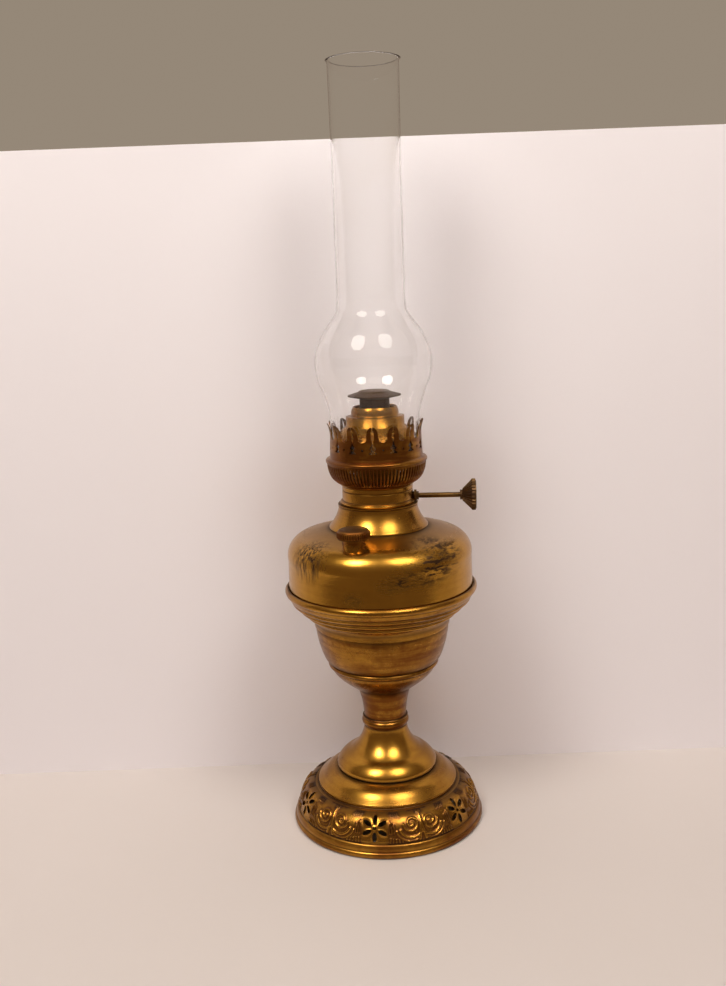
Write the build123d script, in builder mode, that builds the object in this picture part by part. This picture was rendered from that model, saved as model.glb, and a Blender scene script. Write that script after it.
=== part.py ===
"""Brass table oil lamp with a round-wick burner and a bulb chimney.

The lamp stands on its foot rim.  Origin: centre of the foot rim's resting plane, +Z up.
The wick winder points along +X and the filler cap is at the front left (-X, -Y).
"""

from build123d import *
from math import cos, pi, radians, sin
import os

os.makedirs("parts", exist_ok=True)

# ---------------------------------------------------------------- driving dimensions, mm
sheet = 0.9                  # brass sheet of the spun shells
running_gap = 0.35           # between bodies that slide past each other
shaft_gap = 0.05             # radial clearance of the winder shaft in its bearings
seat_gap = 0.1               # under a piece that only rests in its seat

foot_radius = 71.0           # outside of the rolled bead at the floor
foot_rim_radius = 68.6       # outside of the flat that meets the floor
foot_flat = 2.6              # width of that flat
bead_height = 10.0           # rolled bead, up to the pierced band
band_top_radius = 54.5       # inner edge of the pierced band
band_height = 18.2           # pierced band, bead to step ring
step_radius = 51.9           # raised ring inside the band
step_height = 3.4
dome_radius = 37.6           # foot of the inner dome
shoulder_height = 9.6        # step ring up to the dome
dome_height = 30.8

flower_count = 6
petal_count = 6
petal_length = 6.6
petal_width = 3.0
petal_reach = 3.0            # from the flower's centre to where a petal starts
flower_eye_radius = 1.0
flower_turn = -95.0         # direction of the first flower, degrees from +X

waist_radius = 16.0          # narrowest part of the dome's neck
knop_radius = 17.5
knop_height = 7.6
stem_radius = 15.7
stem_height = 23.0
stem_top_radius = 21.0       # where the stem flares out under the bowl

bowl_radius = 48.5
bowl_height = 51.0
bowl_step_radius = 39.4      # moulding a third of the way up the bowl
bowl_step_height = 17.5

tray_radius = 69.6           # lip of the tray that the font sits in
tray_height = 29.5
tray_ridge = 1.5             # how far each thin ridge under the tray stands out

font_radius = 66.8
font_lift = 5.0              # font floor above the tray's lowest inside point
font_wall_height = 52.0      # font floor up to the shoulder's corner
shoulder_rise = 15.2         # shoulder's corner up to the neck
corner_width = 8.8           # how far in the corner's curve reaches
corner_rise = 9.2            # and how far up
corner_drop = 7.0            # and how far down the wall it starts
neck_foot_radius = 35.6
neck_radius = 28.4
neck_height = 17.0
collar_bore_radius = 24.2    # opening that the burner screws into
collar_height = 6.0

tie_rod_radius = 3.0
tie_nut_radius = 5.6         # across corners, halved
tie_nut_height = 5.0
tie_washer_height = 1.5
rod_overhang = 3.0           # rod past each nut

filler_direction = -106.0    # degrees from +X, front left
filler_distance = 50.5       # from the lamp's axis
filler_bore_radius = 6.6
filler_neck_wall = 1.2
filler_neck_height = 10.4    # above the shoulder, on its axis
filler_sink = 5.0            # filler neck below the shoulder
cap_radius = 11.3            # over its knurls
cap_height = 6.5
cap_top = 1.4
gasket_height = 1.0
cap_knurls = 48

burner_radius = 26.2         # burner body above the font neck
burner_height = 15.0
burner_wall = 1.0
burner_skirt_height = 9.0    # skirt inside the font collar
deck_thickness = 1.0
basket_foot_radius = 27.0
basket_radius = 34.8
basket_height = 16.6
basket_slots = 84
basket_slot_width = 1.1

wick_thickness = 2.2
inner_tube_radius = 11.6     # outside of the central draught tube
tube_wall = 0.7
wick_clearance = 0.3         # each side of the wick
wick_gap = 9.0               # opening between the wick's two edges
wick_length = 140.0
wick_top_below_cone = 2.5    # wick end under the draught cone's mouth at rest
wick_drop = 9.0              # travel down from rest
wick_rise = 3.0              # travel up from rest
duct_width = 6.4             # side duct that feeds the central tube
duct_height = 12.0
duct_rise = 3.0              # duct above the deck

winder_height = 4.2          # shaft axis above the font neck's rim
shaft_radius = 1.85
pinion_teeth = 12
pinion_module = 0.6
pinion_width = 3.0
pinion_offset = 19.0         # pinion's middle from the lamp's axis
mesh_gap = 0.12              # backlash on each flank of the rack
rack_thickness = 2.2
carrier_height = 4.0
carrier_wall = 2.0
bracket_thickness = 1.0
gland_length = 4.0
gland_radius = 4.2
knob_start = 58.8            # shaft's end, where the knob starts
knob_end = 70.4
knob_radius = 11.0
knob_rim = 3.0
knob_ridges = 24

gallery_ring_radius = 36.1
gallery_ring_height = 3.2
gallery_wall = 0.6
gallery_height = 27.0        # ring top up to the prong tips
gallery_units = 14
window_width = 4.6
window_height = 8.6
small_hole_radius = 0.9
slit_width = 0.9
cross_width = 3.2
cross_height = 7.2
prong_flare = 1.7            # prong tips bent out past the wall
chimney_gap = 0.5            # between the glass and the gallery wall

glass = 1.5
chimney_foot_radius = 31.9
chimney_foot_height = 30.0
chimney_bulge_radius = 41.3
chimney_bulge_height = 66.0  # widest point above the chimney's foot
chimney_waist_height = 104.0
chimney_tube_radius = 24.1
chimney_height = 267.0

cone_gap = 0.9               # between the glass foot and the draught cone
cone_wall_height = 14.0
cone_drum_radius = 20.7
cone_drum_start = 23.6       # height of the drum's foot above the gallery floor
cone_drum_top = 30.9
cone_shoulder_radius = 16.8
cone_height = 37.7

spreader_stem_radius = inner_tube_radius - tube_wall - running_gap
spreader_stem_sink = 22.0    # stem inside the central tube
spreader_stem_rise = 5.6     # stem showing above the draught cone
spreader_hole_rows = 5
spreader_holes = 24
spreader_hole_radius = 0.4
spreader_radius = 18.8
spreader_top_radius = 10.2
spreader_disc_height = 5.4

# ---------------------------------------------------------------- levels that follow
band_start = bead_height
step_start = band_start + band_height
dome_start = step_start + step_height + shoulder_height
knop_start = dome_start + dome_height
stem_start = knop_start + knop_height
bowl_start = stem_start + stem_height
tray_start = bowl_start + bowl_height - 2 * sheet
tray_top = tray_start + tray_height
font_floor = tray_start + font_lift
font_corner = font_floor + font_wall_height
neck_start = font_corner + shoulder_rise
neck_top = neck_start + neck_height
winder_level = neck_top + winder_height
burner_top = neck_top + burner_height
gallery_floor = burner_top + basket_height
chimney_start = gallery_floor + sheet + seat_gap
cone_mouth = gallery_floor + cone_height

wick_inner_radius = inner_tube_radius + wick_clearance
wick_outer_radius = wick_inner_radius + wick_thickness
outer_tube_bore = wick_outer_radius + wick_clearance
outer_tube_radius = outer_tube_bore + tube_wall
wick_top = cone_mouth - wick_top_below_cone
gallery_bore = chimney_foot_radius + chimney_gap
gallery_outside = gallery_bore + gallery_wall
cone_radius = chimney_foot_radius - glass - cone_gap


def ring(low, high, inner, outer):
    """Plain ring about the lamp's axis, added to the part being built."""
    with BuildSketch(Plane.XY.offset(low)) as section:
        Circle(outer)
        Circle(inner, mode=Mode.SUBTRACT)
    extrude(section.sketch, amount=high - low)


def finish(piece, name):
    """Name a finished piece and write it."""
    piece.part.label = name
    export_step(piece.part, f"parts/{name}.step")


# ---------------------------------------------------------------- foot
def flower_plane(turn):
    """Plane that lies on the pierced band, X sideways and Y up the band."""
    middle_radius = (foot_rim_radius + band_top_radius) / 2 + 2.8
    middle_level = band_start + band_height / 2 + 1.2
    tilt = radians(38)
    out = Vector(cos(radians(turn)), sin(radians(turn)), 0)
    normal = out * cos(tilt) + Vector(0, 0, 1) * sin(tilt)
    sideways = Vector(-sin(radians(turn)), cos(radians(turn)), 0)
    centre = out * middle_radius + Vector(0, 0, middle_level)
    return Plane(origin=centre, x_dir=sideways, z_dir=normal)


with BuildPart() as foot_shell:
    with BuildSketch(Plane.XZ):
        with BuildLine():
            flat = Line((foot_rim_radius - foot_flat, 0), (foot_rim_radius, 0))
            bead = ThreePointArc(
                flat @ 1, (foot_radius, bead_height * 0.42), (foot_rim_radius, bead_height)
            )
            band = ThreePointArc(
                bead @ 1,
                (foot_rim_radius - 4.2, band_start + band_height * 0.6),
                (band_top_radius, step_start),
            )
            ledge = Line(band @ 1, (step_radius, step_start + 0.4))
            edge = ThreePointArc(
                ledge @ 1,
                (step_radius - 0.2, step_start + step_height * 0.75),
                (step_radius - 1.5, step_start + step_height),
            )
            shoulder = ThreePointArc(
                edge @ 1,
                ((step_radius + dome_radius) / 2 + 0.2, dome_start - shoulder_height * 0.36),
                (dome_radius, dome_start - sheet),
            )
            Line(shoulder @ 1, (dome_radius - 4, dome_start - sheet))
            offset(amount=-sheet, side=Side.LEFT)
        make_face()
    revolve(axis=Axis.Z)
    for i in range(flower_count):
        with BuildSketch(flower_plane(flower_turn + i * 360 / flower_count)):
            Circle(flower_eye_radius)
            with PolarLocations(petal_reach + petal_length / 2, petal_count, start_angle=90):
                Ellipse(petal_length / 2, petal_width / 2)
        extrude(amount=7, both=True, mode=Mode.SUBTRACT)
finish(foot_shell, "foot_shell")

with BuildPart() as foot_dome:
    with BuildSketch(Plane.XZ):
        with BuildLine():
            wall = Line((dome_radius - 0.6, dome_start), (dome_radius - 0.4, dome_start + 2.4))
            crown = ThreePointArc(
                wall @ 1,
                (dome_radius - 2.8, dome_start + dome_height * 0.2),
                (dome_radius * 0.74, dome_start + dome_height * 0.36),
            )
            throat = ThreePointArc(
                crown @ 1,
                (waist_radius + 3.9, dome_start + dome_height * 0.62),
                (waist_radius, dome_start + dome_height * 0.95),
            )
            top = Line(throat @ 1, (waist_radius, knop_start))
            Line(top @ 1, (tie_rod_radius + 1, knop_start))
            offset(amount=-sheet, side=Side.LEFT)
        make_face()
    revolve(axis=Axis.Z)
finish(foot_dome, "foot_dome")

# ---------------------------------------------------------------- stem
with BuildPart() as knop_ring:
    with BuildSketch(Plane.XZ):
        with BuildLine():
            lower = Line((waist_radius - 4, knop_start), (waist_radius, knop_start))
            collar = Line(lower @ 1, (waist_radius, knop_start + 0.8))
            swell = ThreePointArc(
                collar @ 1,
                (knop_radius, knop_start + knop_height * 0.45),
                (waist_radius + 0.2, knop_start + knop_height * 0.78),
            )
            fillet_line = ThreePointArc(
                swell @ 1,
                (waist_radius + 0.9, knop_start + knop_height * 0.89),
                (waist_radius, stem_start),
            )
            upper = Line(fillet_line @ 1, (waist_radius - 4, stem_start))
            Line(upper @ 1, lower @ 0)
        make_face()
    revolve(axis=Axis.Z)
finish(knop_ring, "knop_ring")

with BuildPart() as stem_tube:
    with BuildSketch(Plane.XZ):
        with BuildLine():
            bottom = Line((tie_rod_radius + 1, stem_start), (stem_radius, stem_start))
            shaft = ThreePointArc(
                bottom @ 1,
                (stem_radius + 0.7, stem_start + stem_height * 0.38),
                (stem_radius + 2.4, stem_start + stem_height * 0.72),
            )
            flare = ThreePointArc(
                shaft @ 1,
                (stem_radius + 3.3, stem_start + stem_height * 0.86),
                (stem_top_radius, bowl_start),
            )
            Line(flare @ 1, (tie_rod_radius + 1, bowl_start))
            offset(amount=-sheet, side=Side.LEFT)
        make_face()
    revolve(axis=Axis.Z)
finish(stem_tube, "stem_tube")

# ---------------------------------------------------------------- tie rod through the stand
lower_washer_top = knop_start - sheet
lower_nut_top = lower_washer_top - tie_washer_height
upper_washer_start = bowl_start + sheet
upper_nut_start = upper_washer_start + tie_washer_height
rod_start = lower_nut_top - tie_nut_height - rod_overhang
rod_end = upper_nut_start + tie_nut_height + rod_overhang
rod_hole_radius = tie_rod_radius + running_gap

with BuildPart() as tie_rod:
    with BuildSketch(Plane.XY.offset(rod_start)):
        Circle(tie_rod_radius)
    extrude(amount=rod_end - rod_start)
    chamfer(tie_rod.edges().filter_by(GeomType.CIRCLE), length=0.5)
finish(tie_rod, "tie_rod")

with BuildPart() as tie_washers:
    ring(lower_nut_top, lower_washer_top, rod_hole_radius, waist_radius - 2 * sheet)
    ring(upper_washer_start, upper_nut_start, rod_hole_radius, waist_radius - 2 * sheet)
finish(tie_washers, "tie_washers")

with BuildPart() as tie_nuts:
    for nut_start in (lower_nut_top - tie_nut_height, upper_nut_start):
        with BuildSketch(Plane.XY.offset(nut_start)):
            RegularPolygon(tie_nut_radius, 6)
            Circle(tie_rod_radius, mode=Mode.SUBTRACT)
        extrude(amount=tie_nut_height)
finish(tie_nuts, "tie_nuts")

# ---------------------------------------------------------------- bowl and tray
bowl_step_level = bowl_start + bowl_step_height

with BuildPart() as bowl:
    with BuildSketch(Plane.XZ):
        with BuildLine():
            floor = Line((rod_hole_radius, bowl_start), (stem_top_radius + 0.6, bowl_start))
            lower = ThreePointArc(
                floor @ 1,
                (bowl_step_radius - 8.1, bowl_start + bowl_step_height * 0.44),
                (bowl_step_radius - 0.6, bowl_step_level),
            )
            bead = ThreePointArc(
                lower @ 1,
                (bowl_step_radius + 1.1, bowl_step_level + 1.2),
                (bowl_step_radius, bowl_step_level + 3),
            )
            side = ThreePointArc(
                bead @ 1,
                (bowl_radius - 3.2, bowl_step_level + (bowl_height - bowl_step_height) * 0.36),
                (bowl_radius, bowl_start + bowl_height - 4),
            )
            Line(side @ 1, (bowl_radius, bowl_start + bowl_height))
            offset(amount=-sheet, side=Side.LEFT)
        make_face()
    revolve(axis=Axis.Z)
finish(bowl, "bowl")

with BuildPart() as tray:
    with BuildSketch(Plane.XZ):
        with BuildLine():
            skirt_radius = bowl_radius + sheet + 0.05
            skirt = Line((skirt_radius, tray_start), (skirt_radius, tray_start + 1.4))
            lower_ridge = ThreePointArc(
                skirt @ 1,
                (skirt_radius + tray_ridge, tray_start + 2.7),
                (skirt_radius + 0.7, tray_start + 4.2),
            )
            upper_ridge = ThreePointArc(
                lower_ridge @ 1,
                (skirt_radius + 0.7 + tray_ridge, tray_start + 5.6),
                (skirt_radius + 3.2, tray_start + 7.2),
            )
            cone = ThreePointArc(
                upper_ridge @ 1,
                (skirt_radius + (tray_radius - skirt_radius) * 0.62, tray_start + tray_height * 0.47),
                (tray_radius - 1.6, tray_start + tray_height * 0.68),
            )
            ThreePointArc(
                cone @ 1,
                (tray_radius, tray_start + tray_height * 0.84),
                (tray_radius - 0.5, tray_top),
            )
            offset(amount=-sheet, side=Side.LEFT)
        make_face()
    revolve(axis=Axis.Z)
finish(tray, "tray")

# ---------------------------------------------------------------- font (oil reservoir)
pan_radius = bowl_radius - 2.5
pan_rise = 17.0              # the pan's floor up to its folded edge
slope_end_radius = neck_foot_radius - 1.0

with BuildPart() as font_pan:
    with BuildSketch(Plane.XZ):
        with BuildLine():
            floor = Line((0, font_floor), (pan_radius, font_floor))
            slope = ThreePointArc(
                floor @ 1,
                (pan_radius + 8.0, font_floor + pan_rise * 0.34),
                (font_radius - 2 * sheet, font_floor + pan_rise),
            )
            wall = Line(slope @ 1, (font_radius - 2 * sheet, font_floor + pan_rise + 5))
            lip = Line(wall @ 1, (font_radius - 3 * sheet, font_floor + pan_rise + 5))
            down = Line(lip @ 1, (font_radius - 3 * sheet, font_floor + pan_rise))
            back = ThreePointArc(
                down @ 1,
                (pan_radius + 7.4, font_floor + pan_rise * 0.34 + sheet),
                (pan_radius - 0.5, font_floor + sheet),
            )
            end = Line(back @ 1, (0, font_floor + sheet))
            Line(end @ 1, floor @ 0)
        make_face()
    revolve(axis=Axis.Z)
finish(font_pan, "font_pan")

with BuildPart() as font_drum:
    with BuildSketch(Plane.XZ):
        with BuildLine():
            drum_start = font_floor + pan_rise
            foot = Line((font_radius - sheet, drum_start), (font_radius, drum_start + 3))
            side = Line(foot @ 1, (font_radius - 0.6, font_corner - corner_drop))
            corner = ThreePointArc(
                side @ 1,
                (font_radius - corner_width * 0.27, font_corner + corner_rise * 0.38),
                (font_radius - corner_width, font_corner + corner_rise),
            )
            slope = Line(corner @ 1, (slope_end_radius, neck_start))
            Line(slope @ 1, (neck_foot_radius - 4, neck_start))
            offset(amount=-sheet, side=Side.LEFT)
        make_face()
    revolve(axis=Axis.Z)
    filler_centre = Vector(
        filler_distance * cos(radians(filler_direction)), filler_distance * sin(radians(filler_direction))
    )
    with BuildSketch(Plane.XY.offset(font_corner)):
        with Locations(filler_centre):
            Circle(filler_bore_radius + filler_neck_wall + 0.05)
    extrude(amount=shoulder_rise, mode=Mode.SUBTRACT)
finish(font_drum, "font_drum")

with BuildPart() as font_neck:
    with BuildSketch(Plane.XZ):
        with BuildLine():
            rim = Line((neck_foot_radius, neck_start), (neck_foot_radius, neck_start + 0.8))
            cone = ThreePointArc(
                rim @ 1,
                ((neck_foot_radius + neck_radius) / 2 - 1.3, neck_start + neck_height * 0.45),
                (neck_radius, neck_top - 3),
            )
            Line(cone @ 1, (neck_radius, neck_top - sheet))
            offset(amount=-sheet, side=Side.LEFT)
        make_face()
    revolve(axis=Axis.Z)
finish(font_neck, "font_neck")

with BuildPart() as font_collar:
    with BuildSketch(Plane.XZ):
        with BuildLine():
            outer_radius = neck_radius - sheet - 0.05
            Polyline(
                (collar_bore_radius, neck_top - collar_height),
                (outer_radius, neck_top - collar_height),
                (outer_radius, neck_top - sheet),
                (neck_radius + 0.2, neck_top - sheet),
                (neck_radius + 0.2, neck_top),
                (collar_bore_radius, neck_top),
                close=True,
            )
        make_face()
    revolve(axis=Axis.Z)
finish(font_collar, "font_collar")

# ---------------------------------------------------------------- filler neck and cap
shoulder_share = (filler_distance - slope_end_radius) / (font_radius - corner_width - slope_end_radius)
filler_level = neck_start - (shoulder_rise - corner_rise) * shoulder_share
filler_mouth = filler_level + filler_neck_height

with BuildPart() as filler_neck:
    with BuildSketch(Plane.XY.offset(filler_level - filler_sink)):
        with Locations(filler_centre):
            Circle(filler_bore_radius + filler_neck_wall)
            Circle(filler_bore_radius, mode=Mode.SUBTRACT)
    extrude(amount=filler_mouth - filler_level + filler_sink)
finish(filler_neck, "filler_neck")

gasket_top = filler_mouth + seat_gap + gasket_height
cap_inside_radius = filler_bore_radius + filler_neck_wall + running_gap

with BuildPart() as filler_gasket:
    with BuildSketch(Plane.XY.offset(filler_mouth + seat_gap)):
        with Locations(filler_centre):
            Circle(cap_inside_radius - 0.1)
            Circle(filler_bore_radius - 1.5, mode=Mode.SUBTRACT)
    extrude(amount=gasket_height)
finish(filler_gasket, "filler_gasket")

cap_start = gasket_top + cap_top - cap_height
with BuildPart() as filler_cap:
    with BuildSketch(Plane.XY.offset(cap_start)):
        with Locations(filler_centre):
            Circle(cap_radius)
    extrude(amount=cap_height)
    chamfer(filler_cap.faces().sort_by(Axis.Z)[-1].edges(), length=1.0)
    with BuildSketch(Plane.XY.offset(gasket_top - cap_height)):
        with Locations(filler_centre):
            Circle(cap_inside_radius)
    extrude(amount=cap_height, mode=Mode.SUBTRACT)
    with BuildSketch(Plane.XY.offset(cap_start + 1.6)):
        with Locations(filler_centre):
            with PolarLocations(cap_radius, cap_knurls):
                Circle(0.35)
    extrude(amount=cap_height - 3.6, mode=Mode.SUBTRACT)
finish(filler_cap, "filler_cap")

# ---------------------------------------------------------------- burner body
skirt_radius = collar_bore_radius - running_gap
skirt_bore = skirt_radius - burner_wall
deck_level = burner_top - deck_thickness
rack_inner_y = pinion_module * pinion_teeth / 2 + pinion_module * 1.25
rack_outer_y = rack_inner_y + rack_thickness

with BuildPart() as burner_body:
    with BuildSketch(Plane.XZ):
        with BuildLine():
            start = neck_top + seat_gap
            Polyline(
                (skirt_bore, neck_top - burner_skirt_height),
                (skirt_radius, neck_top - burner_skirt_height),
                (skirt_radius, start),
                (burner_radius, start),
                (burner_radius, start + 7.6),
                (burner_radius - 0.9, start + 8.4),
                (burner_radius - 0.9, burner_top - 2.6),
                (basket_foot_radius - 0.4, burner_top - 0.6),
                (basket_foot_radius - 0.4, burner_top),
                (burner_radius - 2.0, burner_top),
                (burner_radius - 2.0, start + burner_wall),
                (skirt_bore, start + burner_wall),
                close=True,
            )
        make_face()
    revolve(axis=Axis.Z)
    with BuildSketch(Plane.YZ.offset(burner_radius / 2)):
        with Locations((0, winder_level)):
            Circle(gland_radius - 1.2 + 0.02)
    extrude(amount=burner_radius, mode=Mode.SUBTRACT)
finish(burner_body, "burner_body")

with BuildPart() as burner_deck:
    ring(deck_level, burner_top, outer_tube_radius + 0.02, burner_radius - 2.0 - 0.02)
    with BuildSketch(Plane.XY.offset(deck_level)):
        with Locations((pinion_offset, (rack_inner_y + rack_outer_y) / 2 - 0.6)):
            Rectangle(pinion_width + 1.6, rack_thickness + 3.2)
    extrude(amount=deck_thickness, mode=Mode.SUBTRACT)
finish(burner_deck, "burner_deck")

with BuildPart() as air_basket:
    with BuildSketch(Plane.XZ):
        with BuildLine():
            Polyline(
                (basket_foot_radius - 3, burner_top),
                (basket_foot_radius, burner_top),
                (basket_foot_radius + 4.4, burner_top + basket_height * 0.2),
                (basket_radius - 1.4, burner_top + basket_height * 0.5),
                (basket_radius, burner_top + basket_height * 0.86),
                (basket_radius, gallery_floor),
            )
            offset(amount=-sheet, side=Side.LEFT)
        make_face()
    revolve(axis=Axis.Z)
    with Locations((0, 0, burner_top + basket_height * 0.53)):
        with PolarLocations(basket_radius - 3, basket_slots, start_angle=180 / basket_slots):
            Box(12, basket_slot_width, basket_height * 0.66, mode=Mode.SUBTRACT)
finish(air_basket, "air_basket")

# ---------------------------------------------------------------- wick tubes and side air duct
inner_tube_start = deck_level - 9.0
inner_tube_top = wick_top - 1.0
duct_start = burner_top + duct_rise
duct_end = outer_tube_radius + 2.0

with BuildPart() as inner_tube:
    ring(inner_tube_start, inner_tube_top, inner_tube_radius - tube_wall, inner_tube_radius)
    ring(inner_tube_start, inner_tube_start + tube_wall, 0.8, inner_tube_radius)
    with BuildSketch(Plane.XZ):
        with Locations((0, duct_start + duct_height / 2)):
            Rectangle(duct_width, duct_height)
    extrude(amount=-duct_end, mode=Mode.SUBTRACT)
finish(inner_tube, "inner_tube")

with BuildPart() as outer_tube:
    ring(deck_level, cone_mouth - 1.0, outer_tube_bore, outer_tube_radius)
    with BuildSketch(Plane.XZ):
        with Locations((0, duct_start + duct_height / 2)):
            Rectangle(duct_width, duct_height)
    extrude(amount=-duct_end, mode=Mode.SUBTRACT)
finish(outer_tube, "outer_tube")

with BuildPart() as air_duct:
    with BuildSketch(Plane.XZ.offset(-inner_tube_radius + 2 * tube_wall)):
        with Locations((0, duct_start + duct_height / 2)):
            Rectangle(duct_width - 0.04, duct_height - 0.04)
            Rectangle(duct_width - 2 * tube_wall, duct_height - 2 * tube_wall, mode=Mode.SUBTRACT)
    extrude(amount=-(duct_end - inner_tube_radius + 2 * tube_wall))
    with BuildSketch(Plane.XY.offset(duct_start)):
        Circle(inner_tube_radius - tube_wall)
    extrude(amount=duct_height, mode=Mode.SUBTRACT)
finish(air_duct, "air_duct")

# ---------------------------------------------------------------- wick and its rack
pitch_radius = pinion_module * pinion_teeth / 2
carrier_start = winder_level - pitch_radius - pinion_module - 2.0 - wick_rise - carrier_height
rack_top = winder_level + pitch_radius + wick_drop + 1.0
tooth_pitch = pi * pinion_module

with BuildPart() as wick:
    ring(wick_top - wick_length, wick_top, wick_inner_radius, wick_outer_radius)
    with BuildSketch(Plane.XY.offset(wick_top - wick_length)):
        with Locations((0, wick_outer_radius)):
            Rectangle(wick_gap, wick_outer_radius)
    extrude(amount=wick_length, mode=Mode.SUBTRACT)
finish(wick, "wick")

with BuildPart() as wick_carrier:
    ring(carrier_start, carrier_start + carrier_height, wick_outer_radius, wick_outer_radius + carrier_wall)
    with BuildSketch(Plane.XY.offset(carrier_start)):
        with Locations((0, wick_outer_radius + carrier_wall)):
            Rectangle(wick_gap, 2 * carrier_wall + 2)
    extrude(amount=carrier_height, mode=Mode.SUBTRACT)
    with BuildSketch(Plane.XY.offset(carrier_start)):
        with Locations(((pinion_offset + wick_outer_radius + 1) / 2, rack_outer_y - rack_thickness / 2)):
            Rectangle(pinion_offset - wick_outer_radius - 1 + pinion_width, rack_thickness)
    extrude(amount=carrier_height)
    with BuildSketch(Plane.YZ.offset(pinion_offset - pinion_width / 2)):
        with Locations(((rack_inner_y + rack_outer_y) / 2, (carrier_start + rack_top) / 2)):
            Rectangle(rack_thickness, rack_top - carrier_start)
        tooth_rows = int((rack_top - carrier_start - carrier_height) / tooth_pitch / 2) - 1
        for row in range(-tooth_rows - 2, tooth_rows + 1):
            with BuildLine():
                level = winder_level + row * tooth_pitch
                root_half = tooth_pitch * 0.25 + pinion_module * 1.1 * 0.36 - mesh_gap
                tip_half = tooth_pitch * 0.25 - pinion_module * 0.9 * 0.36 - mesh_gap
                tip_y = pitch_radius - pinion_module * 0.85
                Polyline(
                    (rack_inner_y + 0.1, level - root_half),
                    (tip_y, level - tip_half),
                    (tip_y, level + tip_half),
                    (rack_inner_y + 0.1, level + root_half),
                    close=True,
                )
            make_face()
    extrude(amount=pinion_width)
finish(wick_carrier, "wick_carrier")

# ---------------------------------------------------------------- winder
with BuildPart() as winder_pinion:
    with BuildSketch(Plane.YZ.offset(pinion_offset - pinion_width / 2)):
        with Locations((0, winder_level)):
            Circle(pitch_radius - pinion_module * 1.15)
        for tooth in range(pinion_teeth):
            angle = 180 / pinion_teeth + tooth * 360 / pinion_teeth
            root_half = pitch_radius * sin(radians(90 / pinion_teeth)) * 1.35
            pitch_half = pitch_radius * sin(radians(90 / pinion_teeth)) - mesh_gap / 2
            tip_half = pitch_half * 0.5
            points = [
                (pitch_radius - pinion_module * 1.3, -root_half),
                (pitch_radius, -pitch_half),
                (pitch_radius + pinion_module * 0.85, -tip_half),
                (pitch_radius + pinion_module * 0.85, tip_half),
                (pitch_radius, pitch_half),
                (pitch_radius - pinion_module * 1.3, root_half),
            ]
            c = cos(radians(angle))
            s = sin(radians(angle))
            with BuildLine():
                Polyline(*[(x * c - y * s, winder_level + x * s + y * c) for x, y in points], close=True)
            make_face()
        with Locations((0, winder_level)):
            Circle(shaft_radius, mode=Mode.SUBTRACT)
    extrude(amount=pinion_width)
finish(winder_pinion, "winder_pinion")

shaft_start = pinion_offset - pinion_width / 2 - 1.0

with BuildPart() as winder_shaft:
    with BuildSketch(Plane.YZ.offset(shaft_start)):
        with Locations((0, winder_level)):
            Circle(shaft_radius)
    extrude(amount=knob_start + 8.0 - shaft_start)
finish(winder_shaft, "winder_shaft")

with BuildPart() as winder_knob:
    with BuildSketch(Plane.XZ):
        with BuildLine():
            Polyline(
                (knob_start, winder_level + shaft_radius),
                (knob_start, winder_level + shaft_radius + 1.2),
                (knob_end - knob_rim, winder_level + knob_radius - 0.8),
                (knob_end - knob_rim, winder_level + knob_radius),
                (knob_end - 0.6, winder_level + knob_radius),
                (knob_end, winder_level + knob_radius - 0.6),
                (knob_end, winder_level),
                (knob_start + 8.0, winder_level),
                (knob_start + 8.0, winder_level + shaft_radius),
                close=True,
            )
        make_face()
    revolve(axis=Axis((0, 0, winder_level), (1, 0, 0)))
    with BuildSketch(Plane.YZ.offset(knob_end - knob_rim - 0.2)):
        with Locations((0, winder_level)):
            with PolarLocations(knob_radius, knob_ridges):
                Circle(0.55)
    extrude(amount=knob_rim + 1, mode=Mode.SUBTRACT)
finish(winder_knob, "winder_knob")

with BuildPart() as shaft_gland:
    with BuildSketch(Plane.YZ.offset(burner_radius - 2.2)):
        with Locations((0, winder_level)):
            Circle(gland_radius - 1.2)
            Circle(shaft_radius + shaft_gap, mode=Mode.SUBTRACT)
    extrude(amount=gland_length + 1.4)
    with BuildSketch(Plane.YZ.offset(burner_radius + 0.02)):
        with Locations((0, winder_level)):
            Circle(gland_radius)
            Circle(shaft_radius + shaft_gap, mode=Mode.SUBTRACT)
    extrude(amount=1.6)
finish(shaft_gland, "shaft_gland")

bracket_start = pinion_offset + pinion_width / 2 + 0.3
with BuildPart() as pinion_bracket:
    with BuildSketch(Plane.YZ.offset(bracket_start)):
        with Locations((0, (winder_level - 3 + deck_level) / 2)):
            Rectangle(2 * shaft_radius + 3, deck_level - winder_level + 3)
        with Locations((0, winder_level)):
            Circle(shaft_radius + shaft_gap, mode=Mode.SUBTRACT)
    extrude(amount=bracket_thickness)
finish(pinion_bracket, "pinion_bracket")

# ---------------------------------------------------------------- gallery and draught cone
gallery_wall_top = gallery_floor + gallery_height
unit_angle = 360 / gallery_units

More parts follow.
